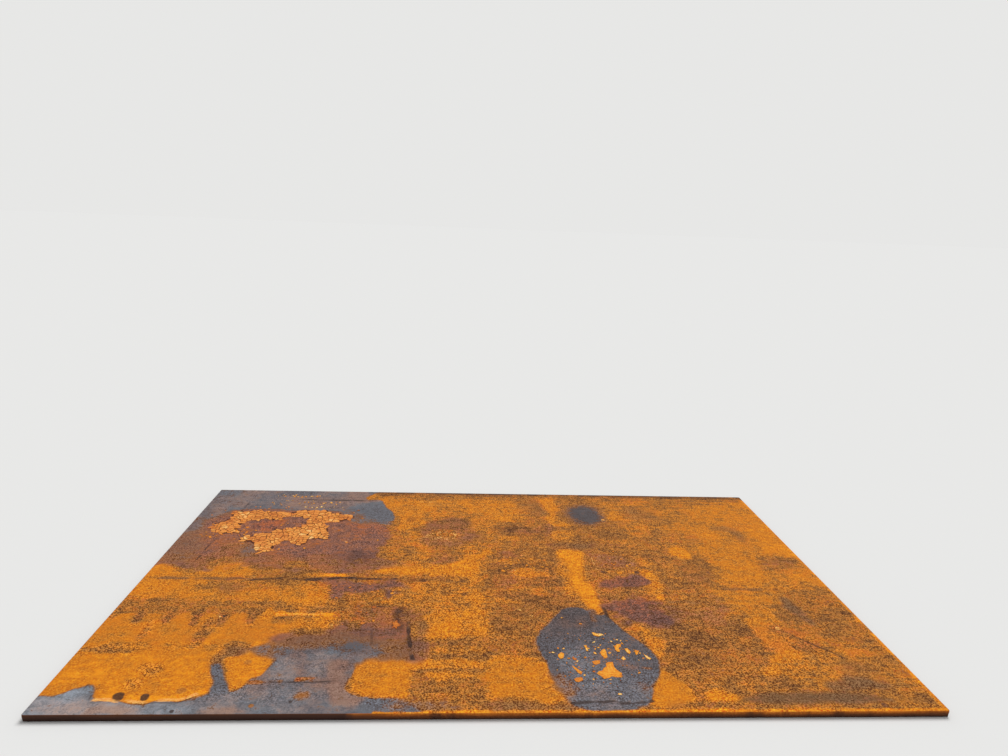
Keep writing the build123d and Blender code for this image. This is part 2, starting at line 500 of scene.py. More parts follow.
        (-1240, 300)]),
    ("scale", 0.35, 35, 20, [(-1240, 300), (-1120, 280), (-1090, 100), (-1120, 40), (-1240, 100)]),
    ("scale", 0.45, 30, 20, [(-960, 200), (-900, 210), (-870, 130), (-900, 80), (-960, 90)]),
    ("scale", 0.42, 30, 24, [
        (-690, -470), (-650, -440), (-600, -420), (-546, -405), (-470, -400), (-401, -400),
        (-337, -420), (-285, -440), (-268, -520), (-340, -518), (-420, -528), (-440, -560),
        (-620, -530)]),
    ("scale", 0.8, 26, 20, [
        (-690, -488), (-655, -474), (-600, -460), (-525, -456), (-455, -452), (-385, -462),
        (-335, -495), (-381, -530), (-430, -545), (-520, -600), (-600, -620), (-650, -530)]),
    ("scale", 1.0, 8, 6, [
        (-1240, -800), (-1240, -694), (-1180, -686), (-1140, -668), (-1110, -648), (-1086, -656),
        (-1068, -708), (-1010, -714), (-943, -721), (-911, -712), (-850, -713), (-803, -690),
        (-760, -670), (-715, -672), (-690, -622), (-664, -605), (-652, -560), (-645, -530),
        (-600, -500), (-560, -490), (-490, -500), (-440, -530), (-424, -560), (-428, -610),
        (-428, -664), (-404, -690), (-340, -702), (-280, -711), (-262, -800)]),
    ("scale", 1.0, 8, 5, [
        (-780, -700), (-785, -671), (-790, -629), (-811, -592), (-818, -560), (-800, -548),
        (-786, -562), (-762, -619), (-742, -651), (-738, -700)]),
    ("scale", 0.45, 26, 16, [(-300, -706), (-200, -716), (-130, -730), (-120, -756), (-300, -760)]),
    ("scale", 1.0, 7, 4, [
        (226, -251), (278, -242), (333, -288), (362, -287), (373, -317), (401, -374), (423, -415),
        (452, -455), (469, -506), (474, -543), (454, -603), (430, -648), (415, -691), (386, -733),
        (354, -751), (300, -756), (234, -752), (195, -741), (178, -723), (171, -682), (154, -650),
        (146, -605), (136, -547), (124, -498), (117, -446), (127, -406), (146, -364), (176, -320),
        (206, -275)]),
    ("scale", 0.55, 20, 14, [
        (124, -580), (155, -597), (180, -602), (202, -642), (200, -690), (178, -708), (150, -650)]),
    ("scale", 0.6, 14, 10, [(385, -635), (417, -640), (428, -665), (404, -695), (380, -680)]),
    ("scale", 0.6, 10, 8, [(312, -262), (331, -258), (336, -290), (324, -335), (308, -333)]),
    ("scale", 0.95, 55, 6, [
        (430, 630), (480, 602), (500, 530), (480, 452), (430, 424), (378, 450), (358, 530), (378, 602)]),
    # The grey hook beside the bloom
    ("grey", 0.58, 10, 10, [
        (-820, -590), (-828, -530), (-823, -476), (-790, -463), (-744, -484), (-732, -502),
        (-755, -518), (-787, -528), (-784, -560), (-800, -590)]),
    ("grain", 1.2, 14, 12, [
        (-825, -540), (-828, -500), (-805, -470), (-755, -462), (-735, -485), (-750, -510),
        (-785, -525), (-800, -540)]),
    ("scale", 0.5, 18, 16, [(-725, -472), (-650, -465), (-650, -505), (-705, -505)]),
    # Lighter and darker scale, and the brown film on parts of it
    ("tone", 0.55, 60, 30, [(-1240, 800), (-500, 800), (-500, 560), (-1240, 560)]),
    ("tone", 0.5, 30, 30, [(-590, 560), (-450, 560), (-400, 420), (-560, 420)]),
    ("tone", 0.52, 40, 30, [(-1240, 440), (-1060, 440), (-960, 60), (-1240, 60)]),
    ("tone", 0.35, 30, 30, [(-580, 160), (-410, 160), (-400, 30), (-580, 40)]),
    ("tone", 0.92, 40, 20, [
        (-1240, -660), (-1120, -650), (-1060, -710), (-800, -700), (-790, -800), (-1240, -800)]),
    ("tone", 0.72, 40, 20, [(-800, -690), (-600, -660), (-500, -680), (-500, -800), (-800, -800)]),
    ("tone", 0.56, 40, 20, [(-500, -690), (-400, -700), (-280, -710), (-280, -800), (-500, -800)]),
    ("tone", 0.72, 22, 16, [
        (-560, -525), (-530, -490), (-492, -470), (-376, -466), (-345, -500), (-400, -535),
        (-482, -530), (-500, -600), (-540, -615)]),
    ("tone", 0.72, 16, 14, [
        (-650, -530), (-607, -508), (-590, -560), (-585, -620), (-621, -622), (-645, -570)]),
    ("tone", 0.26, 40, 20, [(370, 20), (580, 20), (600, -340), (370, -340)]),
    ("tone", 0.34, 40, 20, [(-580, -60), (-240, -60), (-240, -190), (-600, -190)]),
    ("tone", 0.36, 40, 20, [(-580, -190), (-240, -190), (-240, -520), (-600, -420)]),
    ("tone", 0.3, 30, 10, [
        (100, -200), (400, -200), (480, -400), (490, -560), (400, -600), (130, -600), (100, -400)]),
    ("tone", 0.58, 30, 20, [
        (190, -480), (270, -500), (300, -640), (270, -700), (210, -640), (180, -560)]),
    ("tone", 0.5, 30, 20, [(300, -650), (440, -600), (440, -700), (300, -760), (180, -740)]),
    ("tone", 0.08, 30, 10, [
        (158, -395), (200, -260), (260, -236), (342, -280), (370, -336), (329, -352), (238, -380)]),
    ("tone", 0.25, 20, 10, [
        (380, -350), (470, -480), (474, -560), (440, -560), (400, -480), (360, -400)]),
    ("tone", 0.05, 30, 10, [(340, 660), (510, 660), (520, 420), (340, 410)]),
    ("film", 0.4, 40, 30, [(-1060, 760), (-640, 760), (-620, 540), (-1060, 550)]),
    ("film", 0.45, 34, 30, [
        (-690, -500), (-440, -500), (-380, -530), (-380, -690), (-560, -680), (-680, -640)]),
    ("film", 0.4, 30, 20, [(-1240, -680), (-1000, -700), (-700, -690), (-700, -770), (-1240, -770)]),
    ("film", 0.2, 40, 20, [
        (100, -240), (340, -230), (500, -480), (480, -760), (170, -760), (110, -450)]),
    ("film", 0.4, 30, 24, [
        (-1240, 700), (-1050, 700), (-950, 690), (-900, 640), (-1000, 610), (-1240, 620)]),
    ("film", 0.45, 40, 30, [(-1240, 620), (-1130, 600), (-1120, 300), (-1240, 300)]),
    ("film", 0.4, 30, 20, [(-1240, 790), (-700, 790), (-700, 735), (-1240, 740)]),
    ("film", 0.7, 30, 24, [(-640, 770), (-540, 770), (-540, 680), (-500, 660), (-620, 650)]),
    ("film", 0.65, 30, 24, [(-860, 700), (-700, 700), (-620, 620), (-640, 560), (-860, 580)]),
    ("film", 0.4, 30, 24, [(-720, -645), (-480, -645), (-480, -760), (-720, -760)]),
    ("film", 0.75, 10, 14, [
        (-1073, -738), (-1015, -731), (-959, -733), (-934, -746), (-991, -755), (-1059, -757)]),
    ("film", 0.75, 10, 14, [
        (-785, -750), (-725, -739), (-682, -738), (-655, -752), (-711, -762), (-770, -760)]),
    ("scale", 0.42, 9, 10, [(-550, -679), (-524, -675), (-518, -690), (-533, -702), (-554, -697)]),
    ("film", 0.7, 36, 30, [
        (-660, -462), (-607, -410), (-546, -382), (-475, -385), (-401, -372), (-282, -400),
        (-262, -530), (-330, -520), (-345, -480), (-400, -440), (-470, -425), (-560, -445)]),
    ("film", 0.85, 26, 34, [
        (-450, -540), (-424, -560), (-420, -670), (-390, -712), (-453, -704), (-490, -630),
        (-484, -560)]),
    ("film", 0.6, 18, 24, [
        (-605, -482), (-565, -475), (-548, -550), (-552, -615), (-580, -612), (-599, -543)]),
    ("grain", 0.55, 40, 20, [(-1240, 800), (-540, 800), (-400, 480), (-560, 430), (-1240, 600)]),
    ("film", 0.5, 20, 14, [(207, -299), (229, -295), (225, -345), (207, -345)]),
    ("film", 0.5, 14, 12, [(260, -328), (286, -324), (284, -347), (260, -352)]),
    ("film", 0.6, 16, 14, [
        (358, -554), (376, -548), (410, -560), (440, -566), (431, -584), (376, -580)]),
    # Olive-grey smears
    ("grey", 0.85, 14, 8, [
        (655, -706), (720, -690), (900, -686), (1020, -692), (1090, -708), (1080, -724), (1000, -730),
        (860, -728), (700, -728)]),
    ("grey", 0.85, 20, 16, [
        (937, -640), (1000, -610), (1060, -606), (1085, -630), (1120, -650), (1090, -672),
        (1030, -668), (960, -672)]),
    ("grey", 0.5, 18, 16, [
        (950, 410), (1000, 425), (1060, 405), (1075, 350), (1062, 236), (1036, 250), (1020, 330),
        (985, 370)]),
    ("grey", 0.8, 16, 12, [
        (1000, -175), (1024, -176), (1046, -280), (1052, -340), (1026, -338), (1004, -250)]),
    ("grey", 0.45, 26, 20, [(1020, -530), (1090, -540), (1110, -590), (1050, -610), (1020, -590)]),
    ("grey", 0.6, 16, 14, [(-60, -718), (0, -712), (160, -722), (180, -750), (60, -756), (-60, -750)]),
    ("grey", 0.5, 26, 20, [(220, 250), (390, 250), (400, 185), (220, 185)]),
    ("grey", 0.45, 30, 20, [(150, 700), (235, 700), (240, 520), (150, 520)]),
    ("grey", 0.5, 16, 16, [(-255, -330), (-215, -335), (-210, -400), (-250, -405)]),
    ("grey", 0.5, 20, 16, [(-950, -90), (-880, -90), (-870, -150), (-940, -150)]),
    ("grey", 0.4, 24, 20, [(610, 600), (750, 600), (760, 490), (620, 490)]),
    ("grey", 0.5, 12, 10, [(440, -725), (490, -722), (500, -745), (450, -750)]),
    # Dark stains
    ("stain", 0.8, 12, 14, [
        (-325, -240), (-302, -250), (-298, -300), (-300, -378), (-326, -372), (-334, -320)]),
    ("stain", 0.45, 14, 12, [(-350, 475), (-315, 480), (-305, 445), (-340, 435)]),
    ("stain", 0.4, 16, 12, [(-550, 150), (-500, 155), (-440, 130), (-450, 60), (-530, 50)]),
    # Brown haze beside the dark line, and a red glow inside the crust
    ("maroon", 0.65, 24, 24, [(-330, -440), (-245, -440), (-240, -530), (-330, -535)]),
    ("red", 0.5, 16, 16, [(-950, 440), (-850, 440), (-850, 350), (-950, 350)]),
]

# Strokes: (field, value, half width, line)
STROKES = [
    # Bright rust along the near and right edges, partly a painted highlight where the rolled rim catches
    # light; through the rim it also lightens the top of the cut edge
    ("fresh", 0.95, 7, [(-400, -758), (300, -758), (1219, -758)]),
    ("fresh", 0.95, 8, [(-330, -760), (300, -760), (1219, -760)]),
    ("fresh", 0.92, 7, [(1214, -762), (1214, 0), (1214, 762)]),
    ("scale", 0.0, 5, [(-340, -760), (300, -760), (1219, -760)]),
    # Along the far edge: a band of duller rust and a dark line at the very edge
    ("fresh", 0.34, 22, [(-520, 746), (300, 746), (1219, 746)]),
    ("stain", 0.75, 12, [(-400, 756), (300, 757), (1219, 757)]),
    ("stain", 0.4, 9, [(600, 738), (900, 741), (1160, 738)]),
    ("fresh", 0.46, 7, [(520, 700), (700, 706), (1000, 700), (1190, 704)]),
    ("fresh", 0.5, 6, [(560, 668), (800, 672), (1100, 664)]),
    ("fresh", 0.5, 7, [(600, 622), (760, 626), (900, 618)]),
    ("fresh", 0.48, 6, [(-420, 690), (-100, 694), (160, 688)]),
    ("maroon", 0.9, 5, [(-1219, -760), (-800, -760), (-380, -760)]),
    ("stain", 0.25, 9, [(-1165, -58), (-1060, -62), (-840, -62)]),
    ("grey", 0.8, 9, [(-1165, -60), (-1060, -62), (-840, -62)]),
    ("stain", 0.4, 12, [(-860, -70), (-790, -62), (-725, -58), (-663, -64), (-596, -58), (-440, -57)]),
    ("stain", 0.8, 7, [(-848, -72), (-800, -64), (-770, -58)]),
    ("stain", 1.0, 8, [(-750, -58), (-700, -60), (-663, -66), (-610, -58)]),
    ("stain", 1.1, 7, [(-575, -55), (-540, -50), (-500, -51)]),
    ("stain", 0.9, 6, [(-480, -55), (-440, -58), (-400, -56)]),
    ("stain", 0.7, 6, [(-385, -58), (-345, -55)]),
    ("stain", 0.45, 12, [(-330, -60), (-290, -68), (-240, -62)]),
    ("stain", 0.85, 6, [(-868, 660), (-760, 655), (-640, 656), (-545, 655)]),
    ("stain", 0.85, 3, [
        (-1043, 696), (-1051, 609), (-1060, 461), (-1067, 291), (-1082, 192), (-1087, 37)]),
    ("stain", 0.5, 7, [(-300, -255), (-290, -300), (-283, -340)]),
    ("stain", 0.95, 6, [(-282, -337), (-274, -420), (-265, -473), (-257, -529)]),
    ("stain", 0.5, 4, [(-410, -250), (-397, -337), (-383, -459)]),
    ("stain", 0.9, 6, [(356, -170), (362, -230), (366, -320)]),
    ("stain", 0.35, 5, [(-350, -545), (-346, -600)]),
    ("stain", 1.0, 5, [(180, -725), (226, -721), (305, -719), (316, -727), (383, -723), (408, -716)]),
    ("stain", 0.55, 5, [(-540, -236), (-400, -240), (-300, -238)]),
    ("fresh", 0.3, 4, [(925, -380), (955, -420), (1000, -468), (1050, -525)]),
    ("stain", 0.6, 3, [(930, -388), (968, -436), (1010, -478)]),
    ("grey", 0.7, 9, [(800, -110), (900, -116), (1010, -112), (1040, -120)]),
    ("grey", 0.5, 7, [(600, -205), (690, -210), (770, -205)]),
    ("stain", 0.9, 3, [(-640, -632), (-531, -634), (-485, -631), (-445, -627)]),
    ("red", 1.2, 9, [(-690, -634), (-650, -632), (-612, -631)]),
    ("red", 1.2, 10, [(-564, -620), (-536, -621), (-500, -624)]),
    ("scale", 0.25, 8, [(-690, -634), (-650, -632), (-612, -631)]),
    ("scale", 0.25, 9, [(-564, -620), (-536, -621), (-500, -624)]),
    ("red", 1.2, 7, [(418, -568), (432, -572)]),
    ("scale", 0.35, 7, [(418, -568), (432, -572)]),
    ("fresh", 0.34, 9, [(-1126, -285), (-1126, -340)]),
    ("fresh", 0.34, 9, [(-1036, -285), (-1034, -338)]),
    ("fresh", 0.34, 9, [(-950, -285), (-946, -345)]),
    ("fresh", 0.32, 11, [(-866, -285), (-862, -360)]),
    ("fresh", 0.34, 9, [(-778, -285), (-774, -345)]),
    ("grain", 1.2, 12, [(-1126, -285), (-1126, -345)]),
    ("grain", 1.2, 12, [(-1036, -285), (-1034, -345)]),
    ("grain", 1.2, 12, [(-950, -285), (-946, -350)]),
    ("grain", 1.2, 14, [(-866, -285), (-862, -370)]),
    ("grain", 1.2, 12, [(-778, -285), (-774, -350)]),
    ("stain", 0.6, 3, [(-1115, -640), (-1117, -700)]),
    ("stain", 0.6, 3, [(-1084, -640), (-1082, -702)]),
    ("fresh", 1.0, 9, [(-706, -291), (-610, -291), (-518, -290)]),
    ("pale", 0.32, 9, [(-268, 280), (-243, 309), (-183, 339), (-132, 308), (-152, 280)]),
    ("pale", 0.3, 8, [(-235, 252), (-202, 292), (-165, 262), (-142, 262)]),
    ("pale", 0.38, 6, [(-706, -292), (-610, -290), (-518, -288)]),
    ("fresh", 1.0, 10, [(-680, -32), (-600, -30), (-530, -33)]),
    ("maroon", 0.1, 10, [(-680, -32), (-600, -30), (-530, -33)]),
    ("pale", 0.3, 6, [(-660, -34), (-600, -30), (-535, -33)]),
    ("pale", 0.35, 2, [(385, 125), (388, 60), (392, 15)]),
    ("pale", 0.4, 5, [(-310, 648), (-215, 648)]),
    ("pale", 0.3, 5, [(-320, 612), (-200, 612)]),
    ("pale", 0.62, 6, [
        (-1066, -703), (-1033, -703), (-1010, -710), (-959, -713), (-939, -715), (-911, -707),
        (-854, -706), (-833, -696), (-813, -680)]),
    ("stain", 0.6, 3, [
        (-1071, -711), (-1033, -709), (-1010, -717), (-959, -721), (-939, -724), (-911, -715),
        (-854, -717), (-833, -705), (-810, -688)]),
    ("fresh", 1.0, 12, [(-1066, -690), (-1010, -697), (-939, -702), (-854, -696), (-806, -670)]),
]

# Dots: (field, value, radius, place)
DOTS = [
    ("stain", 0.5, 24, (-314, -350)),
    ("stain", 0.5, 16, (-303, -290)),
    ("stain", 1.1, 16, (-1014, -688)),
    ("stain", 1.1, 15, (-1011, -697)),
    ("stain", 1.1, 12, (-945, -690)),
    ("stain", 1.1, 11, (-943, -699)),
    ("stain", 1.1, 6, (-854, -749)),
    ("stain", 1.1, 6, (-563, -714)),
    # A small pit: a dark dot, partly painted shade in its hollow, and a pale dot beside it as a painted
    # highlight
    ("stain", 1.1, 6, (-865, -303)),
    ("pale", 0.9, 5, (-875, -305)),
    ("stain", 0.9, 4, (-320, -470)),
    ("stain", 1.0, 6, (430, 194)),
    # A small pit: a dark dot, partly painted shade in its hollow, and a pale dot beside it as a painted
    # highlight
    ("stain", 0.9, 5, (-28, 208)),
    ("pale", 0.7, 5, (-36, 210)),
    ("stain", 0.7, 5, (812, 340)),
    ("grey", 0.5, 13, (-722, -543)),
    ("grey", 0.5, 15, (-860, -668)),
    ("stain", 0.7, 14, (-250, -65)),
    ("stain", 0.5, 12, (-160, -65)),
    ("stain", 0.6, 12, (-112, -68)),
    ("stain", 0.6, 12, (-105, -160)),
    ("stain", 0.6, 12, (412, 5)),
    ("stain", 0.7, 12, (535, 5)),
    ("stain", 0.5, 14, (1015, -115)),
    ("stain", 0.5, 12, (1015, 140)),
    ("stain", 0.5, 12, (1048, -737)),
    ("fresh", 0.8, 9, (-660, -730)),
    ("scale", 0.4, 9, (-660, -730)),
    ("fresh", 0.9, 14, (575, -175)),
    ("fresh", 0.9, 12, (575, -10)),
    ("fresh", 0.85, 12, (470, 0)),
    ("pale", 1.0, 9, (912, -363)),
    ("pale", 0.8, 7, (78, 15)),
    ("pale", 0.8, 6, (116, 133)),
    ("pale", 0.9, 8, (500, 476)),
    ("pale", 0.4, 8, (78, -258)),
    ("pale", 0.4, 8, (113, -297)),
    ("pale", 0.35, 7, (-345, -150)),
    ("pale", 0.3, 9, (-570, 235)),
    ("pale", 0.6, 5, (-520, -352)),
    ("pale", 0.35, 8, (-568, -138)),
]


# Crazed crust: (outline, spacing of the tiles, width of the cracks, raggedness of the rim)
CRUSTS = [
    ([
        (-1062, 520), (-1000, 528), (-940, 536), (-900, 505), (-850, 520), (-780, 540), (-720, 528),
        (-640, 518), (-592, 496), (-582, 452), (-640, 432), (-700, 400), (-760, 410), (-770, 440),
        (-830, 462), (-900, 440), (-940, 462), (-975, 430), (-1010, 390), (-1015, 330), (-1040, 304),
        (-1085, 300), (-1112, 350), (-1098, 430), (-1078, 480)], 15, 1.8, 22),
    ([
        (-975, 285), (-940, 300), (-880, 310), (-862, 350), (-820, 372), (-765, 400), (-700, 410),
        (-662, 380), (-645, 310), (-650, 250), (-705, 240), (-750, 215), (-795, 240), (-838, 220),
        (-850, 180), (-866, 150), (-890, 175), (-910, 205), (-955, 215), (-985, 240)], 15, 1.8, 22),
]

# Bright flakes: (tone, outline)
FLAKES = [
    (0.80, [
        (310, -551), (319, -543), (334, -543), (331, -564), (336, -578), (348, -596), (343, -616),
        (328, -614), (316, -609), (308, -619), (291, -621), (284, -609), (275, -596), (282, -586),
        (293, -583), (302, -570), (309, -565)]),
    (0.95, [
        (296, -391), (303, -389), (312, -397), (327, -396), (332, -402), (317, -411), (306, -410),
        (299, -403)]),
    (0.84, [
        (303, -499), (311, -482), (321, -477), (324, -488), (322, -505), (321, -520), (314, -525),
        (309, -516), (304, -508)]),
    (0.86, [
        (352, -465), (364, -453), (376, -453), (373, -467), (364, -476), (365, -493), (356, -493),
        (352, -482)]),
    (0.88, [(382, -476), (392, -473), (398, -495), (392, -505), (385, -496)]),
    (0.80, [(411, -484), (426, -488), (415, -504), (409, -509)]),
    (0.96, [(434, -503), (442, -514), (453, -526), (446, -532), (437, -523)]),
    (0.94, [(361, -526), (370, -515), (375, -529), (367, -535)]),
    (0.85, [(174, -506), (186, -495), (195, -503), (188, -523), (178, -528), (174, -517)]),
    (0.90, [(259, -460), (268, -460), (269, -489), (264, -489), (262, -474)]),
    (0.72, [(208, -558), (215, -565), (225, -578), (235, -591), (228, -602), (220, -591), (213, -576)]),
    (0.62, [(204, -624), (213, -617), (229, -614), (230, -627), (216, -637), (207, -634)]),
    (0.66, [(270, -541), (279, -536), (295, -535), (294, -549), (281, -557), (273, -552)]),
    (0.45, [(215, -520), (228, -525), (224, -536), (217, -533)]),
    (0.42, [
        (-334, -330), (-327, -337), (-319, -323), (-314, -340), (-304, -354), (-314, -360),
        (-315, -376), (-323, -365), (-331, -370), (-327, -354)]),
]

# Bits: (tone, size, place)
BITS = [
    (0.95, 11, (228, -539)), (0.75, 9, (254, -520)), (0.98, 12, (322, -689)),
    (0.88, 11, (399, -594)), (0.45, 10, (268, -589)), (0.92, 10, (309, -625)),
    (0.95, 9, (349, -439)), (0.95, 8, (369, -430)), (0.90, 12, (287, -500)),
    (0.92, 14, (332, -499)), (0.92, 9, (311, -459)), (0.96, 10, (161, -497)),
    (0.92, 9, (196, -476)), (0.60, 10, (268, -341)), (0.90, 7, (213, -306)),
    (0.88, 9, (238, -605)), (0.90, 8, (261, -625)), (0.85, 8, (271, -563)),
    (0.97, 13, (912, -363)), (0.95, 9, (500, 473)), (0.70, 16, (-582, -130)),
    (0.66, 15, (-566, -140)), (0.70, 12, (-434, -96)), (0.66, 12, (-420, -147)),
    (0.62, 14, (-412, -181)), (0.64, 16, (-349, -139)), (0.60, 14, (-328, -132)),
    (0.66, 12, (-447, 252)), (0.66, 13, (-565, 229)), (0.95, 9, (130, 130)),
    (0.80, 12, (70, 60)), (0.80, 12, (550, 30)), (0.85, 12, (590, -20)),
]

# Crumbs: (tone, count, smallest size, largest size, outline of the patch they lie in)
CRUMBS = [
    (0.85, 26, 3, 9, [
        (170, -430), (300, -420), (400, -440), (440, -520), (420, -600), (300, -650), (200, -620),
        (160, -520)]),
    (0.70, 110, 2, 6, [
        (150, -420), (300, -370), (430, -470), (450, -560), (400, -640), (200, -660), (150, -560)]),
    (0.55, 16, 3, 10, [(180, -450), (240, -450), (280, -560), (260, -660), (200, -640), (160, -540)]),
    (0.50, 40, 5, 18, [(-520, -255), (-400, -245), (-400, -350), (-500, -345)]),
    (0.68, 60, 6, 20, [(30, 110), (200, 110), (210, 20), (100, -60), (30, 20)]),
    (0.62, 60, 5, 16, [(400, 170), (560, 180), (640, 60), (600, -120), (560, -20), (420, 10)]),
    (0.58, 130, 4, 15, [
        (-1140, 560), (-560, 545), (-560, 410), (-620, 230), (-860, 130), (-1010, 230), (-1140, 280)]),
    (0.62, 14, 4, 14, [(-430, 395), (-345, 425), (-306, 335), (-400, 312)]),
    (0.88, 40, 3, 10, [(300, -430), (400, -430), (450, -490), (440, -515), (290, -520)]),
    (0.92, 22, 5, 16, [(-960, 712), (-720, 706), (-720, 680), (-960, 684)]),
    (0.96, 34, 5, 14, [(-800, 640), (-640, 628), (-640, 560), (-800, 566)]),
    (0.90, 12, 5, 12, [(-940, 640), (-820, 640), (-820, 580), (-940, 580)]),
    (0.62, 36, 6, 18, [(-1130, 420), (-990, 420), (-980, 280), (-1140, 270)]),
    (0.56, 30, 6, 16, [(-250, 330), (-200, 365), (-140, 345), (-125, 300), (-190, 275)]),
    (0.55, 30, 4, 14, [(-640, -80), (-420, -75), (-330, -180), (-560, -190)]),
]


def noise(places, period, seed, octaves=3):
    """Smooth noise about 0, near -1 to 1, at 2-D places, with features a period apart."""
    total = np.zeros(len(places))
    for octave in range(octaves):
        table = np.random.default_rng(seed + octave).random((NOISE_TABLE, NOISE_TABLE)) * 2 - 1
        grid = places / (period / 2**octave)
        cell = np.floor(grid).astype(int)
        part = grid - cell
        part = part * part * (3 - 2 * part)
        near, far = cell % NOISE_TABLE, (cell + 1) % NOISE_TABLE
        low = table[near[:, 0], near[:, 1]] * (1 - part[:, 0]) + table[far[:, 0], near[:, 1]] * part[:, 0]
        high = table[near[:, 0], far[:, 1]] * (1 - part[:, 0]) + table[far[:, 0], far[:, 1]] * part[:, 0]
        total += (low * (1 - part[:, 1]) + high * part[:, 1]) / 2**octave
    return total


def step(value, start, end):
    """0 at start, 1 at end and smooth between."""
    t = np.clip((value - start) / (end - start), 0, 1)
    return t * t * (3 - 2 * t)


def rounded(outline, steps=5):
    """A closed smooth line through the outline's points."""
    points = np.array(outline, float)
    before, after, later = (np.roll(points, shift, axis=0) for shift in (1, -1, -2))
    made = []
    for t in np.arange(steps) / steps:
        made.append(0.5 * (2 * points + (after - before) * t
                           + (2 * before - 5 * points + 4 * after - later) * t**2
                           + (3 * points - before - 3 * after + later) * t**3))
    return np.stack(made, axis=1).reshape(-1, 2)


def off_line(places, line):
    """Distance from each place to a line of points."""
    nearest = np.full(len(places), np.inf)
    for start, end in zip(line[:-1], line[1:]):
        along = end - start
        share = np.clip((places - start) @ along / max(along @ along, 1e-9), 0, 1)
        gap = places - start - share[:, None] * along
        nearest = np.minimum(nearest, (gap**2).sum(axis=1))
    return np.sqrt(nearest)


def inside(places, outline):
    """Whether each place lies inside a closed outline."""
    found = np.zeros(len(places), bool)
    for start, end in zip(outline, np.roll(outline, -1, axis=0)):
        if start[1] == end[1]:
            continue
        crosses = (start[1] > places[:, 1]) != (end[1] > places[:, 1])
        share = (places[:, 1] - start[1]) / (end[1] - start[1])
        found ^= crosses & (places[:, 0] < start[0] + share * (end[0] - start[0]))
    return found


def depth(places, outline):
    """How deep each place lies inside a closed outline. Outside it is negative."""
    closed = np.vstack([outline, outline[:1]])
    return np.where(inside(places, outline), 1, -1) * off_line(places, closed)


def near(places, points, margin):
    """Which places lie in the box round some points, widened by a margin."""
    low, high = points.min(axis=0) - margin, points.max(axis=0) + margin
    return np.flatnonzero(((places > low) & (places < high)).all(axis=1))


def paint(field, at, cover, value):
    """Brings a field nearer to a value at some places, by how much each is covered."""
    field[at] += (value - field[at]) * cover


def painted(places):
    """Every field at these places of the top face."""
    fields = {name: np.full(len(places), START[name]) for name in FIELDS}
    for number, (name, value, soft, ragged, outline) in enumerate(PATCHES):
        line = rounded(outline)
        at = near(places, line, soft + ragged)
        seed = PATCH_SEED + number * PATCH_SEED_STEP
        wander = noise(places[at], PATCH_WANDER, seed) * ragged
        paint(fields[name], at, step(depth(places[at], line) + wander, -soft, soft), value)
    for number, (outline, spacing, _, ragged) in enumerate(CRUSTS):
        line = rounded(outline)
        at = near(places, line, spacing)
        wander = noise(places[at], CRUST_WANDER, CRUST_SEED + number) * ragged
        reach = depth(places[at], line) + wander
        paint(fields["crust"], at, step(reach, -spacing / 4, spacing / 4), 1.0)
    for number, (name, value, half_width, line) in enumerate(STROKES):
        line = np.array(line, float)
        at = near(places, line, half_width * STROKE_REACH)
        seed = STROKE_SEED + number * STROKE_SEED_STEP
        wander = 1 + STROKE_UNEVEN * noise(places[at], STROKE_WANDER, seed, octaves=2)
        cover = 1 - step(off_line(places[at], line) / (half_width * wander), *STROKE_FADE)
        seed = WEAR_SEED + number * WEAR_SEED_STEP
        worn = WEAR_DEPTH * step(noise(places[at], STROKE_WEAR, seed), *WEAR_RANGE)
        paint(fields[name], at, cover * (1 - worn), value)
    for name, value, radius, place in DOTS:
        centre = np.array([place], float)
        at = near(places, centre, radius * DOT_REACH)
        gap = np.linalg.norm(places[at] - centre, axis=1)
        paint(fields[name], at, 1 - step(gap / radius, *DOT_FADE), value)
    return fields


def outline_loop(spacing):
    """The plate in plan at its land: places round a rounded rectangle and outward directions."""
    half_x, half_y = LENGTH / 2 - CORNER_RADIUS, WIDTH / 2 - CORNER_RADIUS
    places, outward = [], []
    corners = [(half_x, -half_y), (half_x, half_y), (-half_x, half_y), (-half_x, -half_y)]
    for number, (x, y) in enumerate(corners):
        turn = math.radians(90 * number - 90)
        for angle in np.linspace(0, math.pi / 2, CORNER_POINTS) + turn:
            direction = np.array([math.cos(angle), math.sin(angle)])
            places.append(np.array([x, y]) + CORNER_RADIUS * direction)
            outward.append(direction)
        following = corners[(number + 1) % 4]
        direction = np.array([math.cos(turn + math.pi / 2), math.sin(turn + math.pi / 2)])
        start, end = np.array([x, y]), np.array(following)
        count = round(np.linalg.norm(end - start) / spacing)
        for share in np.arange(1, count) / count:
            places.append(start + (end - start) * share + CORNER_RADIUS * direction)
            outward.append(direction)
    return np.array(places), np.array(outward)


def section_rows():
    """The edge section, from the top face down: (inset, height, bite) of each row."""
    rows = []
    for angle in np.linspace(0, math.pi / 2, SHOULDER_ROWS + 1):
        rows.append((SHOULDER_RADIUS * (1 - math.sin(angle)),
                     THICKNESS - SHOULDER_RADIUS * (1 - math.cos(angle)), 0.0))
    land_foot = THICKNESS - SHOULDER_RADIUS - LAND_HEIGHT
    for share in np.arange(1, LAND_ROWS + 1) / LAND_ROWS:
        rows.append((0.0, land_foot + LAND_HEIGHT * (1 - share), LAND_BITE))
    for share in np.arange(1, FRACTURE_ROWS + 1) / FRACTURE_ROWS:
        inset = land_foot * share * math.tan(FRACTURE_LEAN)
        rows.append((inset, land_foot * (1 - share), FRACTURE_BITE))
    return rows


def filled(loop, inner):
    """Triangles over a closed loop of places and the places inside it, in that order."""
    points = [Vector(p) for p in np.vstack([loop, inner])]
    ring = [(i, (i + 1) % len(loop)) for i in range(len(loop))]
    verts, _, faces, _, _, _ = delaunay_2d_cdt(points, ring, [], 1, 1e-6, False)
    if len(verts) != len(points):
        raise RuntimeError("the triangulation merged points")
    return np.array(faces)


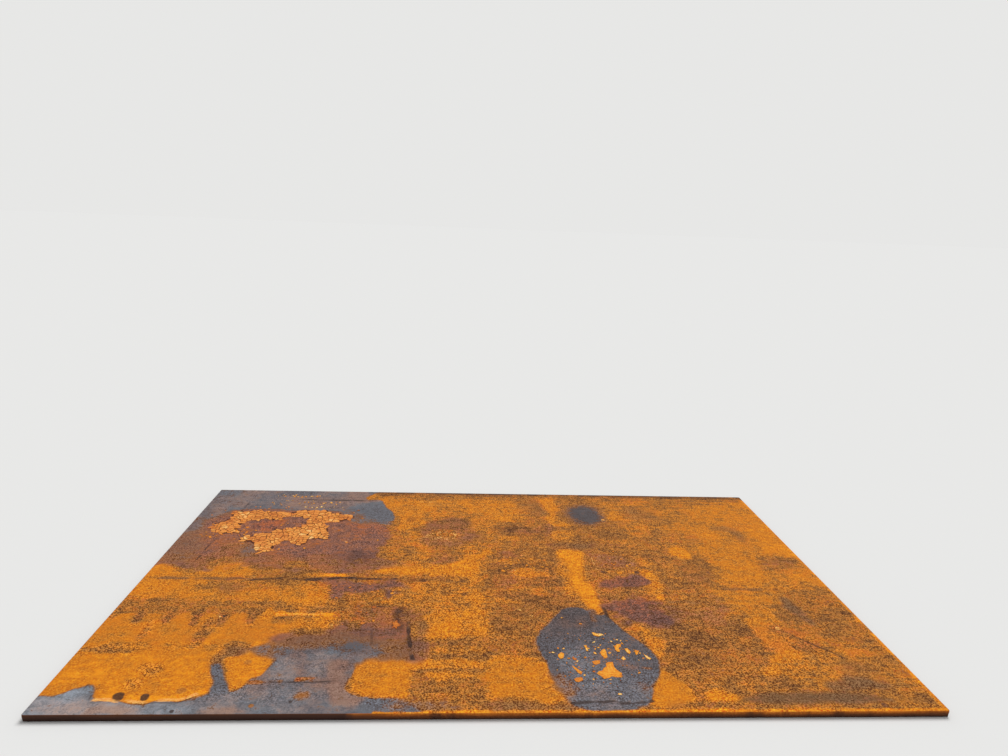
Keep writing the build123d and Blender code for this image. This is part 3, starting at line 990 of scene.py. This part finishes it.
def lattice(spacing, margin, seed):
    """Places in rows over the plate, a little uneven, and a margin inside its outline."""
    rng = np.random.default_rng(seed)
    half_x, half_y = LENGTH / 2 - margin, WIDTH / 2 - margin
    rows = np.linspace(-half_y, half_y, round(2 * half_y / (spacing * math.sqrt(3) / 2)) + 1)
    columns = round(2 * half_x / spacing)
    places = []
    for number, y in enumerate(rows):
        shift = 0.25 if number % 2 else -0.25
        x = (np.arange(columns) + 0.5 + shift) / columns * 2 * half_x - half_x
        places.append(np.stack([x, np.full(columns, y)], axis=1))
    places = np.vstack(places)
    return places + rng.uniform(-LATTICE_SCATTER, LATTICE_SCATTER, places.shape) * spacing


def finer_places():
    """Places along the strokes and round the dots, where the lattice is too coarse."""
    made = []
    columns = np.linspace(-STROKE_FADE[1], STROKE_FADE[1], STROKE_COLUMNS)
    for _, _, half_width, line in STROKES:
        line = np.array(line, float)
        for start, end in zip(line[:-1], line[1:]):
            along = end - start
            side = np.array([-along[1], along[0]]) / np.linalg.norm(along)
            count = max(2, round(np.linalg.norm(along) / max(FINE_STEP, half_width)))
            for share in (np.arange(count) + 0.5) / count:
                for offset in columns:
                    made.append(start + along * share + side * half_width * offset)
    for _, _, radius, place in DOTS:
        made.append(np.array(place, float))
        for reach, count in zip(DOT_FADE, DOT_RING_COUNTS):
            for angle in np.arange(count) / count * 2 * math.pi:
                ring = np.array([math.cos(angle), math.sin(angle)])
                made.append(np.array(place) + ring * radius * reach)
    return np.array(made)


def spread(places, keep, gap):
    """keep, and those of places that lie a gap or more from all of keep."""
    cells = set()
    for x, y in np.floor(keep / gap).astype(int):
        cells.update((x + i, y + j) for i in (-1, 0, 1) for j in (-1, 0, 1))
    free = [i for i, (x, y) in enumerate(np.floor(places / gap).astype(int)) if (x, y) not in cells]
    return np.vstack([keep, places[free]])


def thinned(places, gap):
    """Places with no two closer than about a gap."""
    seen, kept = set(), []
    for i, (x, y) in enumerate(np.floor(places / gap).astype(int)):
        if (x, y) not in seen:
            seen.add((x, y))
            kept.append(i)
    return places[kept]


def relief(places, fields):
    """Height of the top face over the flat, from waves in rolling and from what has grown on it."""
    waves = ROLLED_WAVE * noise(places, ROLLED_PERIOD, ROLLED_SEED, octaves=2)
    rust = RUST_WAVE * noise(places, RUST_PERIOD, RUST_SEED, octaves=2) * (1 - fields["scale"])
    grown = CRUST_RISE * fields["crust"] - STAIN_DIP * fields["stain"]
    return waves + rust + grown


def rim_drop(distance):
    """How far the top face has sunk at a distance from the edge."""
    return RIM_DROP * np.exp(-distance / RIM_DROP_WIDTH)


def top_inner_places(margin):
    """Places inside the rim of the top face: a lattice, and finer places along the strokes."""
    fine = thinned(finer_places(), FINE_SPACING)
    limit = np.array([LENGTH / 2 - margin, WIDTH / 2 - margin])
    fine = fine[(np.abs(fine) < limit).all(axis=1)]
    return spread(lattice(TOP_SPACING, margin, seed=1), fine, FINE_GAP)


def edge_rows(loop, outward, rows):
    """The vertices of the edge below the rim, one ring for each row of the section."""
    made = []
    for inset, height, depth_of_bite in rows[1:]:
        seed = EDGE_SEED + int(height * 10)
        bite = depth_of_bite * (0.5 + 0.5 * noise(loop + height * BITE_SHIFT, BITE_PERIOD, seed))
        place = loop - outward * (inset + np.abs(bite))[:, None]
        heights = np.full(len(loop), height)
        if height > THICKNESS / 2:
            heights -= rim_drop(SHOULDER_RADIUS)
        if depth_of_bite == LAND_BITE:
            heights += LAND_WAVER * noise(loop, LAND_WAVER_PERIOD, WAVER_SEED)
        made.append(np.column_stack([place, heights]))
    made[-1][:, 2] = 0.0
    return made


def under_fields(places):
    """The fields of the underside: patchy mill scale and rust from plain noise."""
    return dict.fromkeys(FIELDS, np.zeros(len(places))) | {
        "grain": np.ones(len(places)),
        "fresh": 0.5 + 0.2 * noise(places, 260, 81),
        "maroon": step(noise(places, 420, 82), -0.1, 0.9),
        "scale": step(noise(places, 520, 83), -0.6, 0.3),
        "stain": 0.25 * step(noise(places, 300, 84), 0.0, 1.0),
        "tone": 0.45 + 0.15 * noise(places, 300, 85),
        "film": 0.3 + 0.3 * noise(places, 200, 86),
    }


def plate_mesh():
    """The whole plate as one closed mesh, with its painted fields."""
    loop, outward = outline_loop(EDGE_SPACING)
    rows = section_rows()
    count = len(loop)
    rim = loop - outward * rows[0][0]
    foot = loop - outward * rows[-1][0]
    margin = SHOULDER_RADIUS + EDGE_SPACING
    top_places = np.vstack([rim, top_inner_places(margin)])
    under_inner = lattice(UNDER_SPACING, margin + UNDER_SPACING / 4, seed=2)

    fields = painted(top_places)
    distance = edge_distance(top_places)
    raised = relief(top_places, fields) * step(distance, RELIEF_START, RELIEF_FULL)
    top_heights = THICKNESS + raised - rim_drop(distance)
    verts = [np.column_stack([top_places, top_heights])]
    verts.extend(edge_rows(loop, outward, rows))
    verts.append(np.column_stack([under_inner, np.zeros(len(under_inner))]))

    top_count = len(top_places)
    faces = [filled(rim, top_places[count:])]
    ring_starts = [0] + [top_count + i * count for i in range(len(rows) - 1)]
    here = np.arange(count)
    after = (here + 1) % count
    for upper, lower in zip(ring_starts[:-1], ring_starts[1:]):
        faces.append(np.column_stack([upper + here, lower + here, lower + after]))
        faces.append(np.column_stack([upper + here, lower + after, upper + after]))
    under = filled(foot, under_inner)[:, ::-1]
    under_start = ring_starts[-1] + count
    under = np.where(under < count, under + ring_starts[-1], under - count + under_start)
    faces.append(under)

    side = painted(rim)
    below = under_fields(np.vstack([foot, under_inner]))
    rings = len(rows) - 2
    values = {name: np.concatenate([fields[name], np.tile(side[name], rings), below[name]])
              for name in FIELDS}
    values["edge"] = np.concatenate([np.zeros(top_count), np.ones((rings + 1) * count),
                                     np.zeros(len(under_inner))])
    return np.vstack(verts), np.vstack(faces), values


def edge_distance(places):
    """How far each place lies inside the plate's straight sides."""
    return np.minimum(LENGTH / 2 - np.abs(places[:, 0]), WIDTH / 2 - np.abs(places[:, 1]))


def cells(outline, spacing, crack, ragged, seed):
    """Cells of a crazed crust: closed outlines with cracks between them, inside an outline."""
    rng = np.random.default_rng(seed)
    line = rounded(outline)
    low, high = line.min(axis=0) - spacing, line.max(axis=0) + spacing
    x, y = np.meshgrid(np.arange(low[0], high[0], spacing), np.arange(low[1], high[1], spacing))
    middles = np.column_stack([x.ravel(), y.ravel()])
    middles = middles + rng.uniform(-TILE_SCATTER, TILE_SCATTER, middles.shape) * spacing
    middles = middles[rng.random(len(middles)) < TILE_SHARE]
    kept = depth(middles, line) + noise(middles, CRUST_WANDER, seed) * ragged > 0
    square = np.array([(-1, -1), (1, -1), (1, 1), (-1, 1)]) * spacing * TILE_HALF_SIZE
    made = []
    for centre in middles[kept]:
        tile = square + centre
        gaps = np.linalg.norm(middles - centre, axis=1)
        close = (gaps > 0) & (gaps < spacing * TILE_REACH)
        for other, gap in zip(middles[close], gaps[close]):
            width = crack * rng.uniform(*CRACK_VARIES)
            tile = clipped(tile, centre, (other - centre) / gap, (gap - width) / 2)
        if len(tile) > 2:
            made.append(tile)
    return made


def clipped(outline, origin, towards, limit):
    """The part of a closed outline that reaches no further than a limit in one direction."""
    reach = (outline - origin) @ towards - limit
    kept = []
    for i, here in enumerate(reach):
        following = (i + 1) % len(reach)
        if here <= 0:
            kept.append(outline[i])
        if (here <= 0) != (reach[following] <= 0):
            share = here / (here - reach[following])
            kept.append(outline[i] + (outline[following] - outline[i]) * share)
    return np.array(kept).reshape(-1, 2)


def worn_outline(outline, spacing, wander, seed):
    """A closed outline with points a spacing apart, moved about by noise of the place."""
    made = []
    for start, end in zip(outline, np.roll(outline, -1, axis=0)):
        count = max(1, round(np.linalg.norm(end - start) / spacing))
        made.extend(start + (end - start) * share for share in np.arange(count) / count)
    made = np.array(made)
    period = RIM_WANDER_PERIOD * spacing
    shifts = [noise(made, period, seed), noise(made, period, seed + RIM_SEED_ACROSS)]
    return made + np.column_stack(shifts) * wander


def chip(outline, sink, curl, thickness, floor):
    """A thin closed flake over an outline: it lies on a floor height and its rim curls up, and its outer
    ring is painted darker as shade.
    """
    count = len(outline)
    centre = outline.mean(axis=0)
    rings = [(outline, curl), (centre + (outline - centre) * INNER_RING, curl * INNER_CURL)]
    places = np.vstack([ring for ring, _ in rings] + [centre[None]])
    heights = np.concatenate([np.full(count, rise) for _, rise in rings] + [[0.0]]) + floor - sink
    wobble = noise(places, WOBBLE_PERIOD, WOBBLE_SEED) * curl * WOBBLE_SHARE
    upper = np.column_stack([places, heights + wobble + thickness])
    lower = np.column_stack([places, heights + wobble])
    here = np.arange(count)
    after = (here + 1) % count
    outer, inner, middle = here, count + here, np.full(count, 2 * count)
    outer_after, inner_after = after, count + after
    top = np.vstack([np.column_stack([outer, outer_after, inner_after]),
                     np.column_stack([outer, inner_after, inner]),
                     np.column_stack([inner, inner_after, middle])])
    under = top[:, ::-1] + len(upper)
    wall = np.vstack([np.column_stack([outer, outer + len(upper), outer_after + len(upper)]),
                      np.column_stack([outer, outer_after + len(upper), outer_after])])
    # Painted shading: the outer ring darker as shade under the curl, the middle a little lighter
    painted_shading = np.repeat(CHIP_PAINTED_SHADING, (count, count, 1))
    return np.vstack([upper, lower]), np.vstack([top, under, wall]), np.tile(painted_shading, 2)


def joined(chips, tones):
    """Many chips as one mesh, each with its own tone, plus the painted shading of its rings."""
    verts, faces, values, start = [], [], [], 0
    for (places, triangles, painted_shading), tone in zip(chips, tones):
        verts.append(places)
        faces.append(triangles + start)
        values.append(tone + painted_shading)
        start += len(places)
    return np.vstack(verts), np.vstack(faces), {"tone": np.concatenate(values)}


def ground_height(places):
    """Height of the plate's top face at these places."""
    return THICKNESS + relief(places, painted(places))


def crust_mesh():
    """The crazed crust as loose tiles with cracks between them."""
    rng = np.random.default_rng(TILE_SEED)
    outlines = []
    for number, (outline, spacing, crack, ragged) in enumerate(CRUSTS):
        outlines.extend(cells(outline, spacing, crack, ragged, CRUST_SEED + number))
    centres = np.array([outline.mean(axis=0) for outline in outlines])
    floors = ground_height(centres)
    tones = TILE_TONE + TILE_TONE_DRIFT * noise(centres, TILE_TONE_PERIOD, TILE_TONE_SEED)
    tones = tones + rng.uniform(*TILE_TONE_SPREAD, len(centres))
    chips = []
    for outline, floor in zip(outlines, floors):
        shape = worn_outline(outline, TILE_RIM_SPACING, TILE_RIM_WANDER, TILE_RIM_SEED)
        curl, thickness = rng.uniform(*TILE_CURL), rng.uniform(*TILE_THICKNESS)
        chips.append(chip(shape, TILE_SINK, curl, thickness, floor))
    return joined(chips, tones)


def crumb(size, rng):
    """The outline of a broken bit of rust about a size across, round the origin."""
    turn, slimness = rng.uniform(0, math.pi), rng.uniform(*CRUMB_SLIMNESS)
    angles = np.arange(CRUMB_CORNERS) / CRUMB_CORNERS * 2 * math.pi
    reach = size / 2 * rng.uniform(*CRUMB_CORNER_REACH, CRUMB_CORNERS)
    shape = np.column_stack([np.cos(angles) * reach, np.sin(angles) * reach * slimness])
    spin = np.array([[math.cos(turn), -math.sin(turn)], [math.sin(turn), math.cos(turn)]])
    return shape @ spin.T


def flake_mesh():
    """Bright flakes and crumbs of rust that stand on the scale."""
    rng = np.random.default_rng(FLAKE_SEED)
    outlines, tones = [], []
    for tone, outline in FLAKES:
        line = np.array(outline, float)
        outlines.append(worn_outline(line, FLAKE_RIM_SPACING, FLAKE_RIM_WANDER, FLAKE_RIM_SEED))
        tones.append(tone)
    for tone, size, place in BITS:
        outlines.append(place + crumb(size, rng))
        tones.append(tone)
    for tone, count, small, large, outline in CRUMBS:
        line = rounded(outline)
        low, high = line.min(axis=0), line.max(axis=0)
        tried = rng.uniform(low, high, (count * CRUMB_TRIES, 2))
        for place in tried[depth(tried, line) > 0][:count]:
            size = small + (large - small) * rng.random() ** CRUMB_SIZE_POWER
            outlines.append(place + crumb(size, rng))
            tones.append(tone + rng.uniform(-CRUMB_TONE_SPREAD, CRUMB_TONE_SPREAD))
    floors = ground_height(np.array([outline.mean(axis=0) for outline in outlines]))
    chips = []
    for outline, floor in zip(outlines, floors):
        curl, thickness = rng.uniform(*FLAKE_CURL), rng.uniform(*FLAKE_THICKNESS)
        chips.append(chip(outline, FLAKE_SINK, curl, thickness, floor))
    return joined(chips, tones)


def make_object(name, verts, faces, values, material):
    """A smooth-shaded mesh object in metres, with one named attribute for each field."""
    mesh = bpy.data.meshes.new(name)
    mesh.from_pydata((np.asarray(verts) * MM).tolist(), [], [list(map(int, f)) for f in faces])
    mesh.validate()
    for field, numbers in values.items():
        attribute = mesh.attributes.new(field, "FLOAT", "POINT")
        attribute.data.foreach_set("value", np.asarray(numbers, np.float32))
    mesh.shade_smooth()
    mesh.set_sharp_from_angle(angle=SHARP_ANGLE)
    mesh.materials.append(material)
    piece = bpy.data.objects.new(name, mesh)
    bpy.context.scene.collection.objects.link(piece)
    return piece


class Wire:
    """One value in a material's node tree, which Python's signs reckon with."""

    def __init__(self, paint, socket):
        self.paint = paint
        self.socket = socket

    def maths(self, operation, first, second):
        node = self.paint.node("ShaderNodeMath", {0: first, 1: second})
        node.operation = operation
        return Wire(self.paint, node.outputs["Value"])

    def __add__(self, other):
        return self.maths("ADD", self, other)

    def __sub__(self, other):
        return self.maths("SUBTRACT", self, other)

    def __rsub__(self, other):
        return self.maths("SUBTRACT", other, self)

    def __mul__(self, other):
        return self.maths("MULTIPLY", self, other)

    __radd__ = __add__
    __rmul__ = __mul__

    def step(self, start, end):
        """0 at start, 1 at end and smooth between."""
        node = self.paint.node("ShaderNodeMapRange", {"Value": self, "From Min": start, "From Max": end})
        node.interpolation_type = "SMOOTHSTEP"
        return Wire(self.paint, node.outputs["Result"])


class Paint:
    """A material whose node tree is built by short calls, each of which returns a Wire."""

    def __init__(self, name):
        self.material = bpy.data.materials.new(name)
        self.material.use_nodes = True
        self.tree = self.material.node_tree
        self.shader = self.tree.nodes["Principled BSDF"]
        self.place = Wire(self, self.node("ShaderNodeTexCoord", {}).outputs["Object"])

    def feed(self, socket, value):
        if isinstance(value, Wire):
            self.tree.links.new(value.socket, socket)
        else:
            socket.default_value = value

    def node(self, kind, inputs):
        node = self.tree.nodes.new(kind)
        for key, value in inputs.items():
            self.feed(node.inputs[key], value)
        return node

    def height(self, top):
        """Height over the floor, from 0 to 1 at a top in millimetres."""
        node = self.node("ShaderNodeSeparateXYZ", {"Vector": self.place})
        return Wire(self, node.outputs["Z"]) * (1 / (top * MM))

    def field(self, name):
        node = self.node("ShaderNodeAttribute", {})
        node.attribute_name = name
        return Wire(self, node.outputs["Fac"])

    def noise(self, period, detail=2.0, roughness=0.6, distortion=0.0, stretch=(1, 1, 1)):
        """Noise about 0 with features about a period, in millimetres, apart."""
        place = Wire(self, self.node("ShaderNodeMapping", {
            "Vector": self.place, "Scale": [1 / (period * MM * s) for s in stretch]}).outputs["Vector"])
        node = self.node("ShaderNodeTexNoise", {
            "Vector": place, "Scale": 1.0, "Detail": detail, "Roughness": roughness,
            "Distortion": distortion})
        return Wire(self, node.outputs["Fac"]) - 0.5

    def mix(self, share, under, over):
        node = self.tree.nodes.new("ShaderNodeMix")
        node.data_type = "RGBA"
        for name, value in (("Factor_Float", share), ("A_Color", under), ("B_Color", over)):
            self.feed(next(s for s in node.inputs if s.identifier == name), value)
        return Wire(self, next(s for s in node.outputs if s.identifier == "Result_Color"))

    def blend(self, share, under, over):
        node = self.node("ShaderNodeMix", {"Factor": share, "A": under, "B": over})
        return Wire(self, node.outputs["Result"])

    def ramp(self, value, stops):
        """A colour from a list of (position, colour)."""
        node = self.node("ShaderNodeValToRGB", {"Fac": value})
        elements = node.color_ramp.elements
        while len(elements) < len(stops):
            elements.new(0.5)
        for element, (position, colour) in zip(elements, stops):
            element.position = position
            element.color = colour
        return Wire(self, node.outputs["Color"])

    def overlay(self, under, over):
        """Lightens or darkens a colour by another, of which half grey changes nothing."""
        laid = self.mix(1.0, under, over)
        laid.socket.node.blend_type = "OVERLAY"
        laid.socket.node.clamp_result = True
        return laid

    def bump(self, height, distance):
        node = self.node("ShaderNodeBump", {"Height": height, "Distance": distance * MM})
        return Wire(self, node.outputs["Normal"])


def srgb(red, green, blue):
    """A colour as a screen shows it, 0 to 255, in linear values."""
    shares = [c / 255 for c in (red, green, blue)]
    return (*[c / 12.92 if c <= 0.04045 else ((c + 0.055) / 1.055) ** 2.4 for c in shares], 1.0)


RUST_TONES = [(0.0, srgb(86, 55, 33)), (0.2, srgb(113, 73, 38)), (0.4, srgb(142, 93, 43)),
              (0.5, srgb(158, 102, 42)), (0.6, srgb(176, 111, 39)), (0.7, srgb(193, 118, 35)),
              (0.85, srgb(208, 123, 28)), (1.0, srgb(234, 145, 28))]
MAROON_TONES = [(0.0, srgb(84, 58, 52)), (0.3, srgb(114, 80, 70)), (0.5, srgb(138, 92, 73)),
                (0.7, srgb(158, 101, 66)), (1.0, srgb(196, 128, 76))]
# Mill scale, blue-grey; its blue is partly a painted reflection of sky, most in the lightest tones
SCALE_TONES = [(0.0, srgb(70, 60, 60)), (0.3, srgb(82, 78, 82)), (0.5, srgb(94, 93, 99)),
               (0.7, srgb(108, 110, 116)), (0.85, srgb(126, 131, 139)), (1.0, srgb(150, 156, 166))]
FILM_TONES = [(0.0, srgb(96, 70, 58)), (0.5, srgb(138, 100, 82)), (1.0, srgb(166, 132, 112))]
GREY_TONE = srgb(104, 80, 58)
RED_TONE = srgb(182, 92, 44)
RIM_TONE = srgb(132, 92, 62)
# Rust under the crust, seen in its cracks: partly its own dark colour, partly painted shade
CRACK_RUST_AND_SHADE_TONE = srgb(78, 42, 30)
STAIN_TONE = srgb(58, 44, 40)
PALE_TONE = srgb(242, 172, 92)
# Colours of the cut edge: dark brown at the low end, partly painted shade, to bright orange at the top,
# partly the rim's painted highlight
EDGE_RUST_AND_SHADE_TONES = [(0.0, srgb(50, 32, 26)), (0.4, srgb(74, 46, 34)), (0.65, srgb(112, 64, 34)),
              (0.85, srgb(170, 94, 34)), (1.0, srgb(220, 128, 46))]
CRUST_TONES = [(0.0, srgb(120, 62, 40)), (0.3, srgb(182, 98, 48)), (0.55, srgb(214, 130, 62)),
               (0.75, srgb(230, 146, 68)), (0.9, srgb(238, 160, 80)), (1.0, srgb(248, 190, 116))]
FLAKE_TONES = [(0.0, srgb(110, 56, 34)), (0.3, srgb(172, 92, 44)), (0.55, srgb(212, 124, 48)),
               (0.75, srgb(230, 144, 46)), (0.9, srgb(240, 162, 56)), (1.0, srgb(252, 210, 134))]
# Light and shade of the grain, laid over a colour, where half grey changes nothing
GRAIN_TONES = [(0.0, (0.22, 0.14, 0.11, 1)), (0.25, (0.35, 0.30, 0.26, 1)), (0.5, (0.5, 0.5, 0.5, 1)),
               (0.75, (0.73, 0.75, 0.78, 1)), (1.0, (0.93, 0.96, 1.0, 1))]


def weathered_steel():
    """Rust, oxide and mill scale, laid over one another by the painted fields."""
    p = Paint("weathered_steel")

    # Noises about 0: fine grit, mottles of growing size, and streaks along the rolling
    grit = p.noise(5, detail=2.0, roughness=0.75)
    mottle = p.noise(17, distortion=0.3)
    patch = p.noise(44, distortion=0.3)
    cloud = p.noise(130)
    streak = p.noise(20, stretch=(7, 1, 1))
    drift = 0.7 * mottle + 0.8 * patch + 0.5 * cloud + 0.5 * streak
    rolled = p.noise(8, detail=3.0, distortion=1.0, stretch=(4, 1, 1))

    # Orange rust, whose rims wander less where it is bright, with olive-grey smears over it
    fresh = p.field("fresh")
    loose = 1 - 0.75 * fresh.step(0.5, 0.8)
    wander = loose * (1.6 * mottle + 1.2 * patch + 1.4 * grit)
    colour = p.ramp(fresh + drift * (1 - 0.4 * fresh.step(0.6, 0.85)), RUST_TONES)
    grey_cover = (p.field("grey") + 0.8 * wander).step(0.0, 1.1)
    colour = p.mix(0.85 * grey_cover, colour, GREY_TONE)

    # Dark oxide and redder rust
    tone = p.field("tone")
    maroon_cover = (p.field("maroon") + wander).step(0.2, 0.95)
    colour = p.mix(maroon_cover, colour, p.ramp(tone + 0.9 * drift, MAROON_TONES))
    red_cover = (p.field("red") + wander + cloud).step(0.0, 1.0)
    colour = p.mix(0.8 * red_cover, colour, RED_TONE)

    # Mill scale with a brown film on parts of it and a rusty rim round it
    scale_edge = p.field("scale") + 0.55 * wander
    scale_cover = scale_edge.step(0.35, 0.85)
    film_cover = (p.field("film") + 0.4 * wander + cloud).step(0.1, 0.9)
    scale = p.mix(0.85 * film_cover, p.ramp(tone + 0.6 * drift, SCALE_TONES),
                  p.ramp(tone + drift, FILM_TONES))
    colour = p.mix(0.8 * scale_edge.step(0.1, 0.5), colour, RIM_TONE)
    colour = p.mix(scale_cover, colour, scale)

    # Dark rust under the crust, darker still as painted shade where it shows in the cracks between the
    # tiles, then stains, and rust that dried pale
    colour = p.mix((p.field("crust") + wander).step(0.3, 0.7), colour, CRACK_RUST_AND_SHADE_TONE)
    stain_cover = (p.field("stain") + 0.7 * wander).step(0.1, 1.0)
    colour = p.mix(0.9 * stain_cover, colour, STAIN_TONE)
    # The pale field also holds two painted highlights beside small pits
    colour = p.mix(0.9 * (p.field("pale") + 0.5 * wander).step(0.2, 0.7), colour, PALE_TONE)

    # The cut edge: rust whose brightness follows the rim above it, with painted shade that darkens it
    # towards its foot
    side = p.field("edge").step(0.3, 0.9)
    height = p.height(THICKNESS)
    colour = p.mix(side, colour, p.ramp(0.6 * height + 0.9 * fresh - 0.5 + 0.5 * streak, EDGE_RUST_AND_SHADE_TONES))

    # Light and dark specks, calmer on bright rust, oxide, scale and the cut edge
    calm = 1 - 0.6 * fresh.step(0.5, 0.85)
    calm = calm * (1 - 0.65 * maroon_cover) * (1 - 0.6 * scale_cover)
    patchy = 0.35 + 0.9 * (0.9 - 2.2 * patch - 0.9 * cloud).step(0.1, 1.6)
    speck = (9.5 * grit + 0.9 * mottle + 0.8 * rolled) * patchy * p.field("grain")
    colour = p.overlay(colour, p.ramp(0.5 + calm * (1 - 0.7 * side) * speck, GRAIN_TONES))

    p.feed(p.shader.inputs["Base Color"], colour)
    p.feed(p.shader.inputs["Roughness"], p.blend(scale_cover, RUST_ROUGHNESS, SCALE_ROUGHNESS))
    p.shader.inputs["Specular IOR Level"].default_value = SPECULAR
    p.feed(p.shader.inputs["Normal"], p.bump(calm * (3 * grit + 2 * mottle) + 2 * patch, 0.4))
    return p.material


def flaky_rust(name, tones):
    """Dried rust in pieces, each of its own tone."""
    p = Paint(name)
    grit = p.noise(5, detail=3.0, roughness=0.7)
    mottle = p.noise(14)
    colour = p.ramp(p.field("tone") + 0.5 * mottle, tones)
    colour = p.overlay(colour, p.ramp(0.5 + 1.6 * grit, GRAIN_TONES))
    p.feed(p.shader.inputs["Base Color"], colour)
    p.shader.inputs["Roughness"].default_value = RUST_ROUGHNESS
    p.shader.inputs["Specular IOR Level"].default_value = SPECULAR
    p.feed(p.shader.inputs["Normal"], p.bump(2 * grit + mottle, 0.5))
    return p.material


def studio():
    """A pale floor that runs into a backdrop of its own colour, soft light and the camera."""
    scene = bpy.context.scene
    scene.view_settings.view_transform = "Standard"

    bpy.ops.mesh.primitive_plane_add(size=FLOOR_SIZE)
    floor = bpy.context.object
    floor.name = "floor"
    floor.location.z = -FLOOR_GAP
    p = Paint("floor")
    p.shader.inputs["Base Color"].default_value = FLOOR_COLOUR
    p.shader.inputs["Roughness"].default_value = 1.0
    p.shader.inputs["Specular IOR Level"].default_value = 0.0
    floor.data.materials.append(p.material)

    world = bpy.data.worlds.new("studio")
    world.use_nodes = True
    tree = world.node_tree
    ground = tree.nodes["Background"]
    ground.inputs["Color"].default_value = (1, 1, 1, 1)
    ground.inputs["Strength"].default_value = SKY_STRENGTH
    seen = tree.nodes.new("ShaderNodeBackground")
    seen.inputs["Color"].default_value = FLOOR_COLOUR
    ray = tree.nodes.new("ShaderNodeLightPath")
    shown = ray.outputs["Is Camera Ray"]
    for kind in ("Is Transmission Ray", "Is Glossy Ray"):
        either = tree.nodes.new("ShaderNodeMath")
        either.operation = "MAXIMUM"
        tree.links.new(shown, either.inputs[0])
        tree.links.new(ray.outputs[kind], either.inputs[1])
        shown = either.outputs["Value"]
    switch = tree.nodes.new("ShaderNodeMixShader")
    tree.links.new(shown, switch.inputs["Fac"])
    tree.links.new(ground.outputs["Background"], switch.inputs[1])
    tree.links.new(seen.outputs["Background"], switch.inputs[2])
    tree.links.new(switch.outputs["Shader"], tree.nodes["World Output"].inputs["Surface"])
    scene.world = world

    lamp = bpy.data.lights.new("key", "SUN")
    lamp.angle = SUN_BREADTH
    lamp.energy = SUN_STRENGTH
    key = bpy.data.objects.new("key", lamp)
    key.rotation_euler = Vector(SUN_DIRECTION).to_track_quat("-Z", "Y").to_euler()
    scene.collection.objects.link(key)

    camera_data = bpy.data.cameras.new("camera")
    camera_data.sensor_width = CAMERA_SENSOR
    camera_data.lens = CAMERA_LENS
    camera = bpy.data.objects.new("camera", camera_data)
    turn = Euler((math.pi / 2 - CAMERA_PITCH, 0, CAMERA_YAW)).to_matrix()
    turn = turn @ Matrix.Rotation(-CAMERA_ROLL, 3, "Z")
    camera.matrix_world = Matrix.Translation(CAMERA_PLACE) @ turn.to_4x4()
    scene.collection.objects.link(camera)
    scene.camera = camera


verts, faces, values = plate_mesh()
plate = make_object("plate", verts, faces, values, weathered_steel())
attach(plate, BODY)
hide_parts(NODE)
print("plate triangles", len(faces), "vertices", len(verts))

for name, (verts, faces, values), tones in (("crust", crust_mesh(), CRUST_TONES),
                                            ("flakes", flake_mesh(), FLAKE_TONES)):
    piece = make_object(name, verts, faces, values, flaky_rust(name, tones))
    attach(piece, BODY)
    print(name, "triangles", len(faces))

studio()
